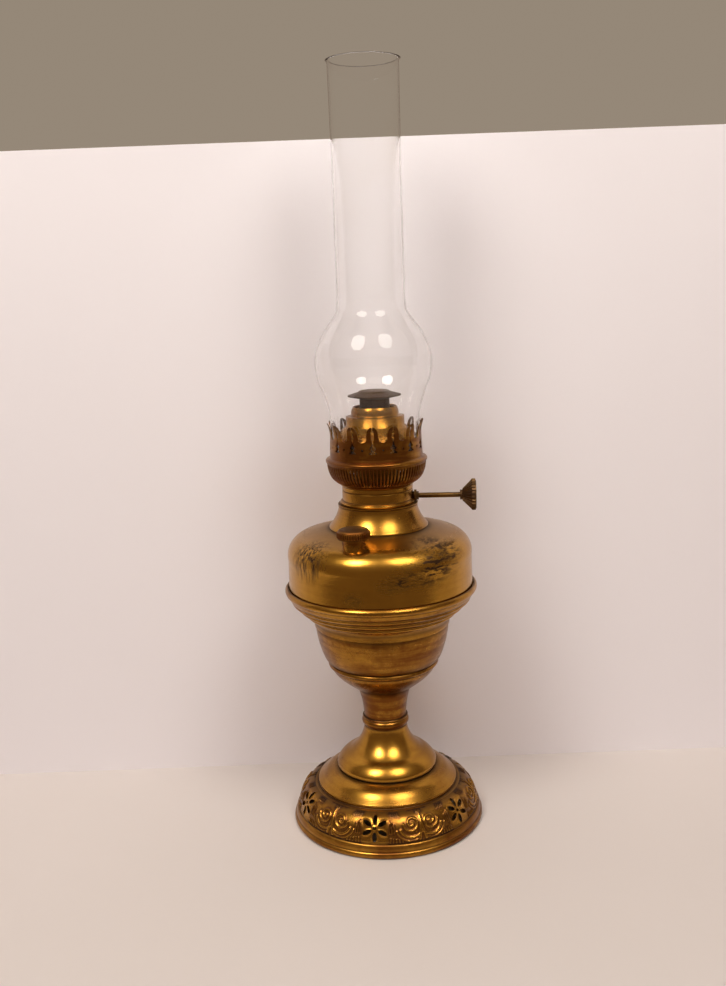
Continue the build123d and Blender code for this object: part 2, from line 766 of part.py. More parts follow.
with BuildPart() as gallery:
    with BuildSketch(Plane.XZ):
        with BuildLine():
            ring_radius = gallery_ring_radius
            ring_half = gallery_ring_height / 2
            under = Line((cone_radius - 2, gallery_floor), (basket_radius + 0.3, gallery_floor))
            down = Line(under @ 1, (basket_radius + 0.3, gallery_floor - 1.2))
            drop = Line(down @ 1, (ring_radius, gallery_floor - 1.2))
            seat = Line(drop @ 1, (ring_radius, gallery_floor + 0.8))
            roll = ThreePointArc(
                seat @ 1,
                (ring_radius - 0.6, gallery_floor + ring_half),
                (gallery_outside + 0.4, gallery_floor + 1.9),
            )
            cove = Line(roll @ 1, (gallery_outside, gallery_floor + 2.8))
            wall = Line(cove @ 1, (gallery_outside, gallery_wall_top - 3.4))
            flare = ThreePointArc(
                wall @ 1,
                (gallery_outside + prong_flare * 0.25, gallery_wall_top - 1.6),
                (gallery_outside + prong_flare, gallery_wall_top),
            )
            tip = Line(flare @ 1, (gallery_outside + prong_flare - gallery_wall, gallery_wall_top))
            inside = ThreePointArc(
                tip @ 1,
                (gallery_bore + prong_flare * 0.25, gallery_wall_top - 1.6),
                (gallery_bore, gallery_wall_top - 3.4),
            )
            fall = Line(inside @ 1, (gallery_bore, gallery_floor + sheet))
            floor = Line(fall @ 1, (cone_radius - 2, gallery_floor + sheet))
            Line(floor @ 1, under @ 0)
        make_face()
    revolve(axis=Axis.Z)
    for unit in range(gallery_units):
        with BuildSketch(Plane.YZ.rotated((0, 0, unit * unit_angle)).offset(gallery_bore - 3)):
            with Locations((0, gallery_floor + 17.2)):
                Ellipse(window_width / 2, window_height / 2)
            with Locations((0, gallery_floor + 9.0)):
                Circle(small_hole_radius)
        extrude(amount=8, mode=Mode.SUBTRACT)
        with BuildSketch(Plane.YZ.rotated((0, 0, (unit + 0.5) * unit_angle)).offset(gallery_bore - 3)):
            with Locations((0, gallery_floor + 9.6)):
                Ellipse(cross_width / 2, cross_height / 6)
                Rectangle(slit_width * 1.6, cross_height)
            with Locations((0, gallery_floor + 19.0)):
                Rectangle(slit_width, 16)
            with BuildLine():
                Polyline(
                    (slit_width / 2, gallery_wall_top - 7),
                    (slit_width / 2 + 1.9, gallery_wall_top + 0.5),
                    (-slit_width / 2 - 1.9, gallery_wall_top + 0.5),
                    (-slit_width / 2, gallery_wall_top - 7),
                    close=True,
                )
            make_face()
        extrude(amount=8, mode=Mode.SUBTRACT)
finish(gallery, "gallery")

with BuildPart() as draught_cone:
    with BuildSketch(Plane.XZ):
        with BuildLine():
            level = gallery_floor + sheet
            foot = Line((cone_radius, level), (cone_radius, level + cone_wall_height))
            slope = ThreePointArc(
                foot @ 1,
                (cone_radius - 2.6, level + cone_wall_height + 3.6),
                (cone_drum_radius + 1.2, gallery_floor + cone_drum_start),
            )
            heel = Line(slope @ 1, (cone_drum_radius, gallery_floor + cone_drum_start + 1))
            drum = Line(heel @ 1, (cone_drum_radius, gallery_floor + cone_drum_top))
            ledge = Line(drum @ 1, (cone_shoulder_radius, gallery_floor + cone_drum_top + 0.8))
            ThreePointArc(
                ledge @ 1,
                (cone_shoulder_radius - 0.2, cone_mouth - 2.6),
                (outer_tube_radius + running_gap, cone_mouth),
            )
            offset(amount=-tube_wall, side=Side.LEFT)
        make_face()
    revolve(axis=Axis.Z)
finish(draught_cone, "draught_cone")

# ---------------------------------------------------------------- flame spreader
stem_bottom = cone_mouth - spreader_stem_sink
stem_top = cone_mouth + spreader_stem_rise

with BuildPart() as spreader_stem:
    ring(stem_bottom, stem_top, spreader_stem_radius - 0.5, spreader_stem_radius)
    row_step = (spreader_stem_rise - 1.4) / (spreader_hole_rows - 1)
    for row in range(spreader_hole_rows):
        for k in range(spreader_holes // 2):
            turn = (k + row * 0.5) * 360 / spreader_holes
            with BuildSketch(Plane.YZ.rotated((0, 0, turn))):
                with Locations((0, cone_mouth + 0.7 + row * row_step)):
                    Circle(spreader_hole_radius)
            extrude(amount=spreader_stem_radius + 1, both=True, mode=Mode.SUBTRACT)
finish(spreader_stem, "spreader_stem")

with BuildPart() as spreader_disc:
    with BuildSketch(Plane.XZ):
        with BuildLine():
            hub = spreader_stem_radius - 0.5 - 0.02
            Polyline(
                (0, stem_top - 2.0),
                (hub, stem_top - 2.0),
                (hub, stem_top),
                (spreader_stem_radius + 0.3, stem_top),
                (spreader_radius, stem_top + 1.8),
                (spreader_radius, stem_top + 2.5),
                (spreader_top_radius + 2, stem_top + spreader_disc_height - 1),
                (spreader_top_radius, stem_top + spreader_disc_height),
                (0, stem_top + spreader_disc_height),
                close=True,
            )
        make_face()
    revolve(axis=Axis.Z)
finish(spreader_disc, "spreader_disc")

# ---------------------------------------------------------------- chimney
bulge_level = chimney_start + chimney_bulge_height
waist_level = chimney_start + chimney_waist_height
foot_top = chimney_start + chimney_foot_height

with BuildPart() as chimney:
    with BuildSketch(Plane.XZ):
        with BuildLine():
            foot = Line((chimney_foot_radius, chimney_start), (chimney_foot_radius, foot_top))
            flare = ThreePointArc(
                foot @ 1,
                (chimney_foot_radius + 1.2, foot_top + 7),
                (chimney_foot_radius + 4.4, foot_top + 17),
            )
            bulge = ThreePointArc(
                flare @ 1,
                (chimney_bulge_radius, bulge_level),
                (chimney_bulge_radius - 5.6, bulge_level + 21),
            )
            neck = ThreePointArc(
                bulge @ 1,
                (chimney_tube_radius + 3.4, waist_level - 5),
                (chimney_tube_radius, waist_level + 4),
            )
            Line(neck @ 1, (chimney_tube_radius, chimney_start + chimney_height))
            offset(amount=-glass, side=Side.LEFT)
        make_face()
    revolve(axis=Axis.Z)
finish(chimney, "chimney")
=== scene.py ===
"""Finishes and fine metalwork for a brass table oil lamp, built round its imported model."""
import math

import bmesh
import bpy
import numpy as np
from bpy.props import FloatProperty, FloatVectorProperty, IntProperty, PointerProperty
from mathutils import Matrix, Vector


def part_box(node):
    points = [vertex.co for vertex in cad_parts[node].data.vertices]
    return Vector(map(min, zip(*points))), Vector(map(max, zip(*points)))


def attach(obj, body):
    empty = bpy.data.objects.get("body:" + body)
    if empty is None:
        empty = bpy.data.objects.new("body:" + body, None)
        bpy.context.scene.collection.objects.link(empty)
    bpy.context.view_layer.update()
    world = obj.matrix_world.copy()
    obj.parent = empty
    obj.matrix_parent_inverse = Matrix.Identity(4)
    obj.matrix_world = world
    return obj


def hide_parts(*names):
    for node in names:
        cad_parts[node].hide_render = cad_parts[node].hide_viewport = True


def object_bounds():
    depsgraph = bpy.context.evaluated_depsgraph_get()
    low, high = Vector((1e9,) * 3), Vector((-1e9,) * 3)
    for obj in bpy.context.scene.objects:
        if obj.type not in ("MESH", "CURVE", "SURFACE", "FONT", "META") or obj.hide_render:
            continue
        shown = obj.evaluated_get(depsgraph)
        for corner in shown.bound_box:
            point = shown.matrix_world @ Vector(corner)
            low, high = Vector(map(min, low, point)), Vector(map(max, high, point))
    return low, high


bl_info = {
    "name": "Brass oil lamp",
    "version": (1, 0, 0),
    "blender": (4, 5, 0),
    "location": "3D View > Sidebar > Oil lamp",
    "description": "Builds the finishes, pierced foot, burner and glass of a brass table oil lamp",
    "category": "Object",
}

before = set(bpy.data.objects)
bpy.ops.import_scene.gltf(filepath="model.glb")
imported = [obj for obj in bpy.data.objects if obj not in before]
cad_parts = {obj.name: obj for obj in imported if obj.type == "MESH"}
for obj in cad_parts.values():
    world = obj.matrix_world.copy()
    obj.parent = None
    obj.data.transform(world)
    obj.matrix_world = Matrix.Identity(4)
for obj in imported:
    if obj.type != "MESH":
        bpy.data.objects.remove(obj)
CAD_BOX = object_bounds()
MM = 0.001


# ------------------------------------------------------------------ settings
def length_property(label, text, millimetres):
    """A size that the panel shows in the scene's length unit."""
    size = millimetres * MM
    return FloatProperty(name=label, description=text, default=size, subtype="DISTANCE", precision=5)


def colour_property(label, text, colour):
    """A colour that the panel shows as a swatch."""
    return FloatVectorProperty(
        name=label, description=text, default=colour, size=3, min=0, max=1, subtype="COLOR"
    )


def count_property(label, text, count, least):
    """How many there are of something."""
    return IntProperty(name=label, description=text, default=count, min=least)


def angle_property(label, text, degrees):
    """An angle that the panel shows in degrees."""
    return FloatProperty(name=label, description=text, default=math.radians(degrees), subtype="ANGLE")


def power_property(label, text, watts):
    """A lamp's power."""
    return FloatProperty(name=label, description=text, default=watts, unit="POWER")


class LampColours(bpy.types.PropertyGroup):
    """Colours of the lamp's finishes."""

    brass: colour_property("Brass", "Rubbed brass where hands have kept it bright", (0.60, 0.318, 0.044))
    patina: colour_property("Patina", "Brown tone of old lacquer and tarnish", (0.175, 0.060, 0.010))
    # Grime and painted shade: the colour of real dirt, also painted as shade into grooves, joins between
    # parts and round the foot's embossed scrolls.
    grime_and_shade: colour_property("Grime", "Dark deposit in grooves and corners", (0.045, 0.022, 0.011))
    burnt: colour_property("Burnt brass", "Brass darkened by heat", (0.06, 0.033, 0.021))
    cotton: colour_property("Cotton", "Woven wick", (0.72, 0.63, 0.47))
    floor: colour_property("Floor", "Plain pale floor", (0.77, 0.715, 0.685))
    wall: colour_property("Wall", "Plain pale board behind the lamp", (0.93, 0.90, 0.94))
    air: colour_property("Surroundings", "What the camera sees past the board", (0.30, 0.245, 0.187))
    room: colour_property("Room", "Dim warm room that the metal reflects", (0.21, 0.145, 0.105))


class LampSizes(bpy.types.PropertyGroup):
    """Sizes and counts of the fine metalwork."""

    sheet: length_property("Sheet", "Thickness of the spun brass sheet", 0.9)
    relief: length_property("Relief", "Height of the embossed scrolls", 0.95)
    flowers: count_property("Flowers", "Pierced flowers round the foot", 6, 1)
    first_flower: angle_property("First flower", "Direction of the flower at the front", -95.0)
    petals: count_property("Petals", "Petals in each pierced flower", 6, 3)
    slots: count_property("Air slots", "Slots round the air basket", 84, 12)
    prongs: count_property("Gallery units", "Pairs of prongs round the gallery", 14, 4)
    cap_teeth: count_property("Cap knurls", "Knurls round the filler cap", 44, 8)
    knob_teeth: count_property("Knob ridges", "Ridges on the winder knob", 28, 6)
    glass: length_property("Glass", "Thickness of the chimney glass", 1.1)


class LampStage(bpy.types.PropertyGroup):
    """Camera and lights."""

    camera_back: length_property("Camera distance", "Camera to the lamp's axis", 738.3)
    camera_height: length_property("Camera height", "Camera above the floor", 397.1)
    camera_aside: length_property("Camera offset", "Camera left of the lamp's axis", -10.5)
    camera_turn: angle_property("Camera turn", "Camera round the lamp", 5.0)
    camera_pitch: angle_property("Camera pitch", "Camera tipped down", 11.43)
    camera_roll: angle_property("Camera roll", "Camera rolled", -2.15)
    lens: FloatProperty(name="Lens", description="Focal length in mm", default=38.34, unit="CAMERA")
    wall_gap: length_property("Wall distance", "Pale board behind the lamp's axis", 86)
    wall_height: length_property("Wall height", "Top of the pale board", 502)
    table_edge: length_property("Reflected floor", "Floor in front that the metal still mirrors", 270)
    lamp_power: power_property("Lamp power", "Strength of the two soft lamps at the front", 6.0)
    glint_power: power_property("Glint power", "Strength of the tall lamps seen only in reflections", 19.0)
    fill_power: power_property("Fill power", "Strength of the broad light above", 3.6)


def colours():
    """The panel's colours."""
    return bpy.context.scene.lamp_colours


def sizes():
    """The panel's sizes."""
    return bpy.context.scene.lamp_sizes


# ------------------------------------------------------------------ shader maths
class Wire:
    """One value in a shader, which Python's operators can work on."""

    def __init__(self, shader, socket):
        self.shader = shader
        self.socket = socket

    def maths(self, operation, *values):
        """A Math node's result on these values, in order."""
        return self.shader.node("ShaderNodeMath", {"operation": operation}, dict(enumerate(values)))

    def __add__(self, other):
        return self.maths("ADD", self, other)

    def __radd__(self, other):
        return self.maths("ADD", other, self)

    def __sub__(self, other):
        return self.maths("SUBTRACT", self, other)

    def __rsub__(self, other):
        return self.maths("SUBTRACT", other, self)

    def __mul__(self, other):
        return self.maths("MULTIPLY", self, other)

    def __rmul__(self, other):
        return self.maths("MULTIPLY", other, self)

    def __truediv__(self, other):
        return self.maths("DIVIDE", self, other)

    def __abs__(self):
        return self.maths("ABSOLUTE", self)

    def sine(self):
        """The sine of this value."""
        return self.maths("SINE", self)

    def kept(self):
        """This value, kept between 0 and 1."""
        return self.shader.node("ShaderNodeClamp", {}, {"Value": self})

    def step(self, low, high):
        """0 below low, 1 above high, and a smooth rise between."""
        settings = {"interpolation_type": "SMOOTHSTEP"}
        return self.shader.node(
            "ShaderNodeMapRange", settings, {"Value": self, "From Min": low, "From Max": high}
        )


class Shader:
    """A material that is being built."""

    def __init__(self, name):
        self.material = bpy.data.materials.new(name)
        self.material.use_nodes = True
        self.tree = self.material.node_tree
        self.surface = next(n for n in self.tree.nodes if n.type == "BSDF_PRINCIPLED")
        self.place = self.node("ShaderNodeTexCoord", {}, {}, "Object")
        parts = self.tree.nodes.new("ShaderNodeSeparateXYZ")
        self.link(parts.inputs[0], self.place)
        self.x = Wire(self, parts.outputs["X"])
        self.y = Wire(self, parts.outputs["Y"])
        self.z = Wire(self, parts.outputs["Z"])

    def link(self, socket, value):
        """Gives a socket a link or a plain value."""
        if isinstance(value, Wire):
            self.tree.links.new(value.socket, socket)
        elif socket.type == "RGBA" and len(value) == 3:
            socket.default_value = (*value, 1.0)
        else:
            socket.default_value = value

    def node(self, kind, settings, inputs, output=0):
        """Any node: its settings first, then its sockets, and the wire that leaves it."""
        made = self.tree.nodes.new(kind)
        for key, value in settings.items():
            setattr(made, key, value)
        for key, value in inputs.items():
            self.link(made.inputs[key], value)
        return Wire(self, made.outputs[output])

    def blend(self, factor, first, second):
        """A colour between two, by factor."""
        return self.node("ShaderNodeMix", {"data_type": "RGBA"}, {0: factor, 6: first, 7: second}, 2)

    def stretched(self, x, y, z):
        """Object coordinates scaled apart, for streaks."""
        return self.node("ShaderNodeVectorMath", {"operation": "MULTIPLY"}, {0: self.place, 1: (x, y, z)})

    def noise(self, scale, detail=3.0, roughness=0.55, vector=None):
        """Noise from 0 to 1 at a scale per metre."""
        values = {"Vector": vector or self.place, "Scale": scale, "Detail": detail, "Roughness": roughness}
        return self.node("ShaderNodeTexNoise", {}, values)

    def near(self, value, centre, width):
        """1 where value is at centre, falling to 0 a width away."""
        return (1 - abs(value - centre) / width).kept()

    def bump(self, height, distance, strength=1.0, after=None):
        """A normal tipped by a height."""
        values = {"Height": height, "Distance": distance, "Strength": strength}
        if after:
            values["Normal"] = after
        return self.node("ShaderNodeBump", {}, values)

    def set(self, **values):
        """Sets the surface's own sockets; underscores stand for spaces."""
        for key, value in values.items():
            self.link(self.surface.inputs[key.replace("_", " ")], value)
        return self.material


# ------------------------------------------------------------------ finishes
def brass_finish(name, grooves=(), tarnish=0.5, stains=(), polish=0.17):
    """Old rubbed brass: brown patina, grime and painted shade in grooves and joins at heights in mm, streaky
    stains and spun lines.
    """
    tone = colours()
    s = Shader(name)
    blotch = s.noise(24, 5.0, 0.62).step(0.36, 0.66)
    mottle = s.noise(150, 5.0, 0.68).step(0.36, 0.72)
    streak = s.noise(1.0, 4.0, 0.62, s.stretched(26, 26, 330)).step(0.38, 0.7)
    patches = blotch * 0.45 + mottle * 0.22 + streak * 0.33
    worn = (patches * 0.75 + 0.5) * tarnish
    dark = patches * 0.06 * tarnish
    # Painted shade, with some real grime: bands at the given heights are darkened towards the grime colour,
    # standing in for shade in grooves, creases and joins between parts.
    for height, width, strength in grooves:
        line = s.near(s.z, height * MM, width * MM)
        dark = dark + line * line * strength
    for centre, radius, strength, stretch, grain in stains:
        middle = tuple(c * MM for c in centre)
        apart = s.node("ShaderNodeVectorMath", {"operation": "SUBTRACT"}, {0: s.place, 1: middle})
        apart = s.node("ShaderNodeVectorMath", {"operation": "MULTIPLY"}, {0: apart, 1: stretch})
        far = s.node("ShaderNodeVectorMath", {"operation": "LENGTH"}, {0: apart}, "Value")
        torn = s.noise(1.0, 5.0, 0.7, s.stretched(*grain)).step(0.40, 0.60)
        dark = dark + (1 - far.step(radius * 0.3 * MM, radius * MM)) * torn * strength
    dark = dark.kept()
    colour = s.blend(worn.kept(), tuple(tone.brass), tuple(tone.patina))
    colour = s.blend(dark, colour, tuple(tone.grime_and_shade))
    rough = (polish + worn * 0.10 + dark * 0.28 + s.noise(420, 2.0) * 0.05).kept()
    rings = s.noise(1.0, 2.0, 0.5, s.stretched(3, 3, 2600))
    normal = s.bump(rings, 0.00006, 0.7)
    normal = s.bump(s.noise(900, 3.0, 0.7), 0.00004, 0.35, normal)
    return s.set(Base_Color=colour, Metallic=1.0, Roughness=rough, Normal=normal)


def embossed_finish(name, low, high):
    """Brass between two heights in mm, with painted shade round its relief and along its edges; attributes
    give the relief and the painted shade round it.
    """
    tone = colours()
    s = Shader(name)
    raised = s.node("ShaderNodeAttribute", {"attribute_name": "relief"}, {}, "Fac")
    relief_shade = s.node("ShaderNodeAttribute", {"attribute_name": "relief_shade"}, {}, "Fac")
    blotch = s.noise(40, 4.0, 0.6).step(0.35, 0.7)
    mottle = s.noise(500, 4.0, 0.7).step(0.35, 0.7)
    sunk = 1 - raised.step(0.1, 0.75)
    # Painted shade: the second attribute darkens the sunk ground round the raised scrolls towards patina and
    # grime.
    worn = (blotch * 0.25 + mottle * 0.15 + 0.38 + relief_shade * sunk * 0.5).kept()
    # Painted shade along the band's bottom and top edges, where it meets the bead and the step ring.
    edges = s.near(s.z, low * MM, 2.2 * MM) + s.near(s.z, high * MM, 2.6 * MM)
    dark = (relief_shade * sunk * (mottle * 0.3 + 0.5) + edges * 0.75).kept()
    colour = s.blend(worn, tuple(tone.brass), tuple(tone.patina))
    colour = s.blend(dark, colour, tuple(tone.grime_and_shade))
    normal = s.bump(s.noise(1300, 3.0, 0.7), 0.00009, 0.5)
    rough = (0.22 + dark * 0.25 + blotch * 0.06).kept()
    return s.set(Base_Color=colour, Metallic=1.0, Roughness=rough, Normal=normal)


def dark_finish(name, warmth=0.5, rough=0.36):
    """Brass toned dark brown by age and heat, rubbed brighter in places."""
    tone = colours()
    s = Shader(name)
    patch = s.noise(60, 4.0, 0.6).step(0.35, 0.72)
    speck = s.noise(700, 4.0, 0.75).step(0.4, 0.75)
    warm = tuple(a * (1 - warmth) + b * warmth for a, b in zip(tone.burnt, tone.brass))
    colour = s.blend(patch * 0.75, warm, tuple(tone.burnt))
    colour = s.blend(speck * 0.5, colour, tuple(tone.grime_and_shade))
    rough = (rough + patch * 0.1 + speck * 0.12).kept()
    normal = s.bump(s.noise(1200, 3.0, 0.7), 0.00006, 0.5)
    return s.set(Base_Color=colour, Metallic=1.0, Roughness=rough, Normal=normal)


def steel_finish(name):
    """Plain turned steel with a grey film."""
    s = Shader(name)
    film = s.noise(220, 4.0, 0.6).step(0.35, 0.7)
    colour = s.blend(film, (0.42, 0.41, 0.39), (0.22, 0.19, 0.16))
    rings = s.noise(1.0, 2.0, 0.5, s.stretched(20, 20, 1500))
    rough = (0.34 + film * 0.2).kept()
    return s.set(Base_Color=colour, Metallic=1.0, Roughness=rough, Normal=s.bump(rings, 0.00003, 0.5))


def cork_finish(name):
    """Pressed cork: pale grain with dark pores."""
    s = Shader(name)
    grain = s.node("ShaderNodeTexVoronoi", {}, {"Vector": s.place, "Scale": 900.0}, "Distance")
    pores = s.noise(1500, 4.0, 0.7).step(0.55, 0.7)
    colour = s.blend(grain.step(0.1, 0.7), (0.50, 0.33, 0.18), (0.33, 0.19, 0.09))
    colour = s.blend(pores, colour, (0.10, 0.05, 0.025))
    return s.set(Base_Color=colour, Roughness=(0.8 + pores * 0.15).kept(), Normal=s.bump(grain, 0.0002, 0.6))


def cotton_finish(name, char_level):
    """Tubular cotton weave, charred below the burning edge, whose height is in mm."""
    tone = colours()
    s = Shader(name)
    turn = s.node("ShaderNodeMath", {"operation": "ARCTAN2"}, {0: s.y, 1: s.x})
    across = (turn * 34.0).sine()
    along = (s.z * 5200.0).sine()
    weave = (across * along) * 0.5 + 0.5
    fluff = s.noise(1800, 4.0, 0.7)
    charred = s.z.step((char_level - 6) * MM, char_level * MM)
    colour = s.blend(weave * 0.5 + fluff * 0.3, tuple(tone.cotton), (0.42, 0.33, 0.21))
    colour = s.blend(charred, colour, (0.012, 0.010, 0.009))
    return s.set(Base_Color=colour, Roughness=0.92, Normal=s.bump(weave + fluff * 0.4, 0.0003, 0.8))


def glass_finish(name):
    """Clear lamp glass with a faint bloom of dust."""
    s = Shader(name)
    dust = s.noise(18, 5.0, 0.65).step(0.45, 0.85)
    return s.set(
        Base_Color=s.blend(dust, (1.0, 1.0, 1.0), (0.985, 0.975, 0.96)),
        Roughness=dust * 0.012,
        IOR=1.45,
        Transmission_Weight=1.0,
    )


# ------------------------------------------------------------------ mesh helpers
def placed(name, mesh, material, angle=35):
    """A smooth-shaded object at the origin, sharp where its faces turn by more than an angle in degrees."""
    mesh.polygons.foreach_set("use_smooth", [True] * len(mesh.polygons))
    mesh.set_sharp_from_angle(angle=math.radians(angle))
    mesh.materials.clear()
    mesh.materials.append(material)
    made = bpy.data.objects.new(name, mesh)
    bpy.context.scene.collection.objects.link(made)
    return made


def add_mesh(name, vertices, faces, material, angle=35):
    """An object from vertices in mm, with its normals outwards."""
    mesh = bpy.data.meshes.new(name)
    mesh.from_pydata([(x * MM, y * MM, z * MM) for x, y, z in vertices], [], [tuple(f) for f in faces])
    mesh.validate()
    built = bmesh.new()
    built.from_mesh(mesh)
    bmesh.ops.remove_doubles(built, verts=built.verts, dist=0.000001)
    bmesh.ops.recalc_face_normals(built, faces=built.faces)
    built.to_mesh(mesh)
    built.free()
    return placed(name, mesh, material, angle)


def lathe(name, outline, material, around=144, angle=35):
    """Spins a closed outline of (radius, height) points in mm about the Z axis."""
    turns = np.arange(around) * 2 * math.pi / around
    count = len(outline)
    vertices = [(r * math.cos(a), r * math.sin(a), z) for a in turns for r, z in outline]
    faces = []
    for i in range(around):
        here = i * count
        ahead = ((i + 1) % around) * count
        for j in range(count):
            k = (j + 1) % count
            faces.append((here + j, ahead + j, ahead + k, here + k))
    return add_mesh(name, vertices, faces, material, angle)


def spline(t, p, q, r, s):
    """The smooth curve's value a share t of the way from q to r, with p before them and s after."""
    bend = (2 * p - 5 * q + 4 * r - s) * t ** 2
    twist = (3 * q - p - 3 * r + s) * t ** 3
    return 0.5 * (2 * q + (r - p) * t + bend + twist)


def bar_faces(rows, around):
    """Faces of a closed bar, whose vertices are rows of the same number of points round its section."""
    last = (rows - 1) * around
    faces = [tuple(range(around)), tuple(range(last, last + around))]
    for row in range(rows - 1):
        for k in range(around):
            a = row * around + k
            b = row * around + (k + 1) % around
            faces.append((a, b, b + around, a + around))
    return faces


def curve_through(points, steps=6):
    """A smooth line through (radius, height) points."""
    padded = [points[0], *points, points[-1]]
    line = []
    for a, b, c, d in zip(padded, padded[1:], padded[2:], padded[3:]):
        for i in range(steps):
            t = i / steps
            line.append(tuple(spline(t, *values) for values in zip(a, b, c, d)))
    line.append(points[-1])
    return line


def walled(line, thickness):
    """A closed outline: a line, and the same line shifted to its left by a thickness."""
    points = np.array(line)
    along = np.gradient(points, axis=0)
    along /= np.linalg.norm(along, axis=1)[:, None]
    inner = points + np.stack([-along[:, 1], along[:, 0]], axis=1) * thickness
    return [tuple(p) for p in points] + [tuple(p) for p in inner[::-1]]


def refined(node, material, angle=30):
    """A merged, smooth copy of a CAD node that stands for it."""
    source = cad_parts[node]
    mesh = source.data.copy()
    built = bmesh.new()
    built.from_mesh(mesh)
    bmesh.ops.remove_doubles(built, verts=built.verts, dist=0.000002)
    built.to_mesh(mesh)
    built.free()
    return placed(node + "_finished", mesh, material, angle)


def settle(piece, body, slot, *nodes):
    """Rides a finished piece on its body and hides the CAD nodes it stands for."""
    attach(piece, body)
    if nodes:
        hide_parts(*nodes)
    return piece


def spun(node, finish_name, grooves, tarnish, stains=()):
    """Finishes one of the lamp's own spun brass nodes."""
    finish = brass_finish(finish_name, grooves, tarnish, stains)
    settle(refined(node, finish), "lamp", "aged_brass", node)


def paint(node, material):
    """Gives a CAD node a finish and keeps its shape."""
    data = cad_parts[node].data
    data.materials.clear()
    data.materials.append(material)


def round_array(piece, count, material):
    """Repeats a piece round the Z axis with Geometry Nodes and keeps the result as a plain mesh."""
    tree = bpy.data.node_groups.new("Round array", "GeometryNodeTree")
    tree.interface.new_socket("Geometry", in_out="INPUT", socket_type="NodeSocketGeometry")
    number = tree.interface.new_socket("Count", in_out="INPUT", socket_type="NodeSocketInt")
    finish = tree.interface.new_socket("Finish", in_out="INPUT", socket_type="NodeSocketMaterial")
    tree.interface.new_socket("Geometry", in_out="OUTPUT", socket_type="NodeSocketGeometry")
    kinds = {
        "start": "NodeGroupInput",
        "end": "NodeGroupOutput",
        "points": "GeometryNodePoints",
        "index": "GeometryNodeInputIndex",
        "share": "ShaderNodeMath",
        "angle": "ShaderNodeMath",
        "turn": "ShaderNodeCombineXYZ",
        "copies": "GeometryNodeInstanceOnPoints",
        "merged": "GeometryNodeMergeByDistance",
        "real": "GeometryNodeRealizeInstances",
        "coated": "GeometryNodeSetMaterial",
    }
    made = {key: tree.nodes.new(kind) for key, kind in kinds.items()}
    made["share"].operation = "DIVIDE"
    made["angle"].operation = "MULTIPLY"
    made["angle"].inputs[1].default_value = 2 * math.pi
    made["merged"].inputs["Distance"].default_value = 0.000002
    links = (
        ("start", "Count", "points", "Count"),
        ("index", 0, "share", 0),
        ("start", "Count", "share", 1),
        ("share", 0, "angle", 0),
        ("angle", 0, "turn", "Z"),
        ("points", 0, "copies", "Points"),
        ("start", "Geometry", "copies", "Instance"),
        ("turn", 0, "copies", "Rotation"),
        ("copies", 0, "merged", 0),
        ("merged", 0, "real", 0),
        ("real", 0, "coated", "Geometry"),
        ("start", "Finish", "coated", "Material"),
        ("coated", 0, "end", 0),
    )
    for source, output, target, entry in links:
        tree.links.new(made[source].outputs[output], made[target].inputs[entry])
    modifier = piece.modifiers.new("Round array", "NODES")
    modifier.node_group = tree
    modifier[number.identifier] = count
    modifier[finish.identifier] = material
    view = bpy.context.evaluated_depsgraph_get()
    view.update()
    result = bpy.data.meshes.new_from_object(piece.evaluated_get(view))
    piece.modifiers.remove(modifier)
    piece.data = result
    if material.name not in [m.name for m in result.materials if m]:
        result.materials.append(material)
    return piece


def joined(name, *pieces):
    """One object from several, with the first one's finish."""
    built = bmesh.new()
    for piece in pieces:
        built.from_mesh(piece.data)
    mesh = bpy.data.meshes.new(name)
    built.to_mesh(mesh)
    built.free()
    mesh.polygons.foreach_set("material_index", [0] * len(mesh.polygons))
    made = placed(name, mesh, pieces[0].data.materials[0])
    for piece in pieces:
        bpy.data.objects.remove(piece)
    return made


def corners(node):
    """The low and high corner of a CAD node's box, in mm."""
    return [[value / MM for value in corner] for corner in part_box(node)]


def span(node):
    """A CAD node's largest radius, lowest height and highest height, in mm."""
    low, high = corners(node)
    return max(high[0], high[1], -low[0], -low[1]), low[2], high[2]


# ------------------------------------------------------------------ pierced foot
def ellipse_distance(x, y, half_long, half_wide):
    """About how far outside an ellipse a point is; negative inside."""
    reach = np.sqrt((x / half_long) ** 2 + (y / half_wide) ** 2) + 1e-9
    return (reach - 1) * np.sqrt(x * x + y * y) / reach


def flower_distance(across, up, petals):
    """Distance from a pierced flower's holes, in mm; negative inside a hole."""
    best = np.sqrt(across ** 2 + up ** 2) - 1.15
    for k in range(petals):
        turn = math.pi / 2 + k * 2 * math.pi / petals
        along = across * math.cos(turn) + up * math.sin(turn) - 6.2
        aside = -across * math.sin(turn) + up * math.cos(turn)
        best = np.minimum(best, ellipse_distance(along, aside, 3.4, 1.55))
    return best


def line_distance(x, y, line):
    """Distance from points to a line of points, and how far along it the nearest place is."""
    best = np.full(x.shape, 1e9)
    place = np.zeros(x.shape)
    for i, ((ax, ay), (bx, by)) in enumerate(zip(line, line[1:])):
        dx, dy = bx - ax, by - ay
        share = np.clip(((x - ax) * dx + (y - ay) * dy) / (dx * dx + dy * dy + 1e-9), 0, 1)
        far = np.hypot(x - ax - share * dx, y - ay - share * dy)
        nearer = far < best
        best = np.where(nearer, far, best)
        place = np.where(nearer, (i + share) / (len(line) - 1), place)
    return best, place


def arc_line(cx, cy, start_radius, end_radius, start, sweep, steps=40):
    """A spiral arc round a centre, angles in degrees."""
    line = []
    for i in range(steps + 1):
        t = i / steps
        radius = start_radius + (end_radius - start_radius) * t
        angle = math.radians(start + sweep * t)
        line.append((cx + radius * math.cos(angle), cy + radius * math.sin(angle)))
    return line


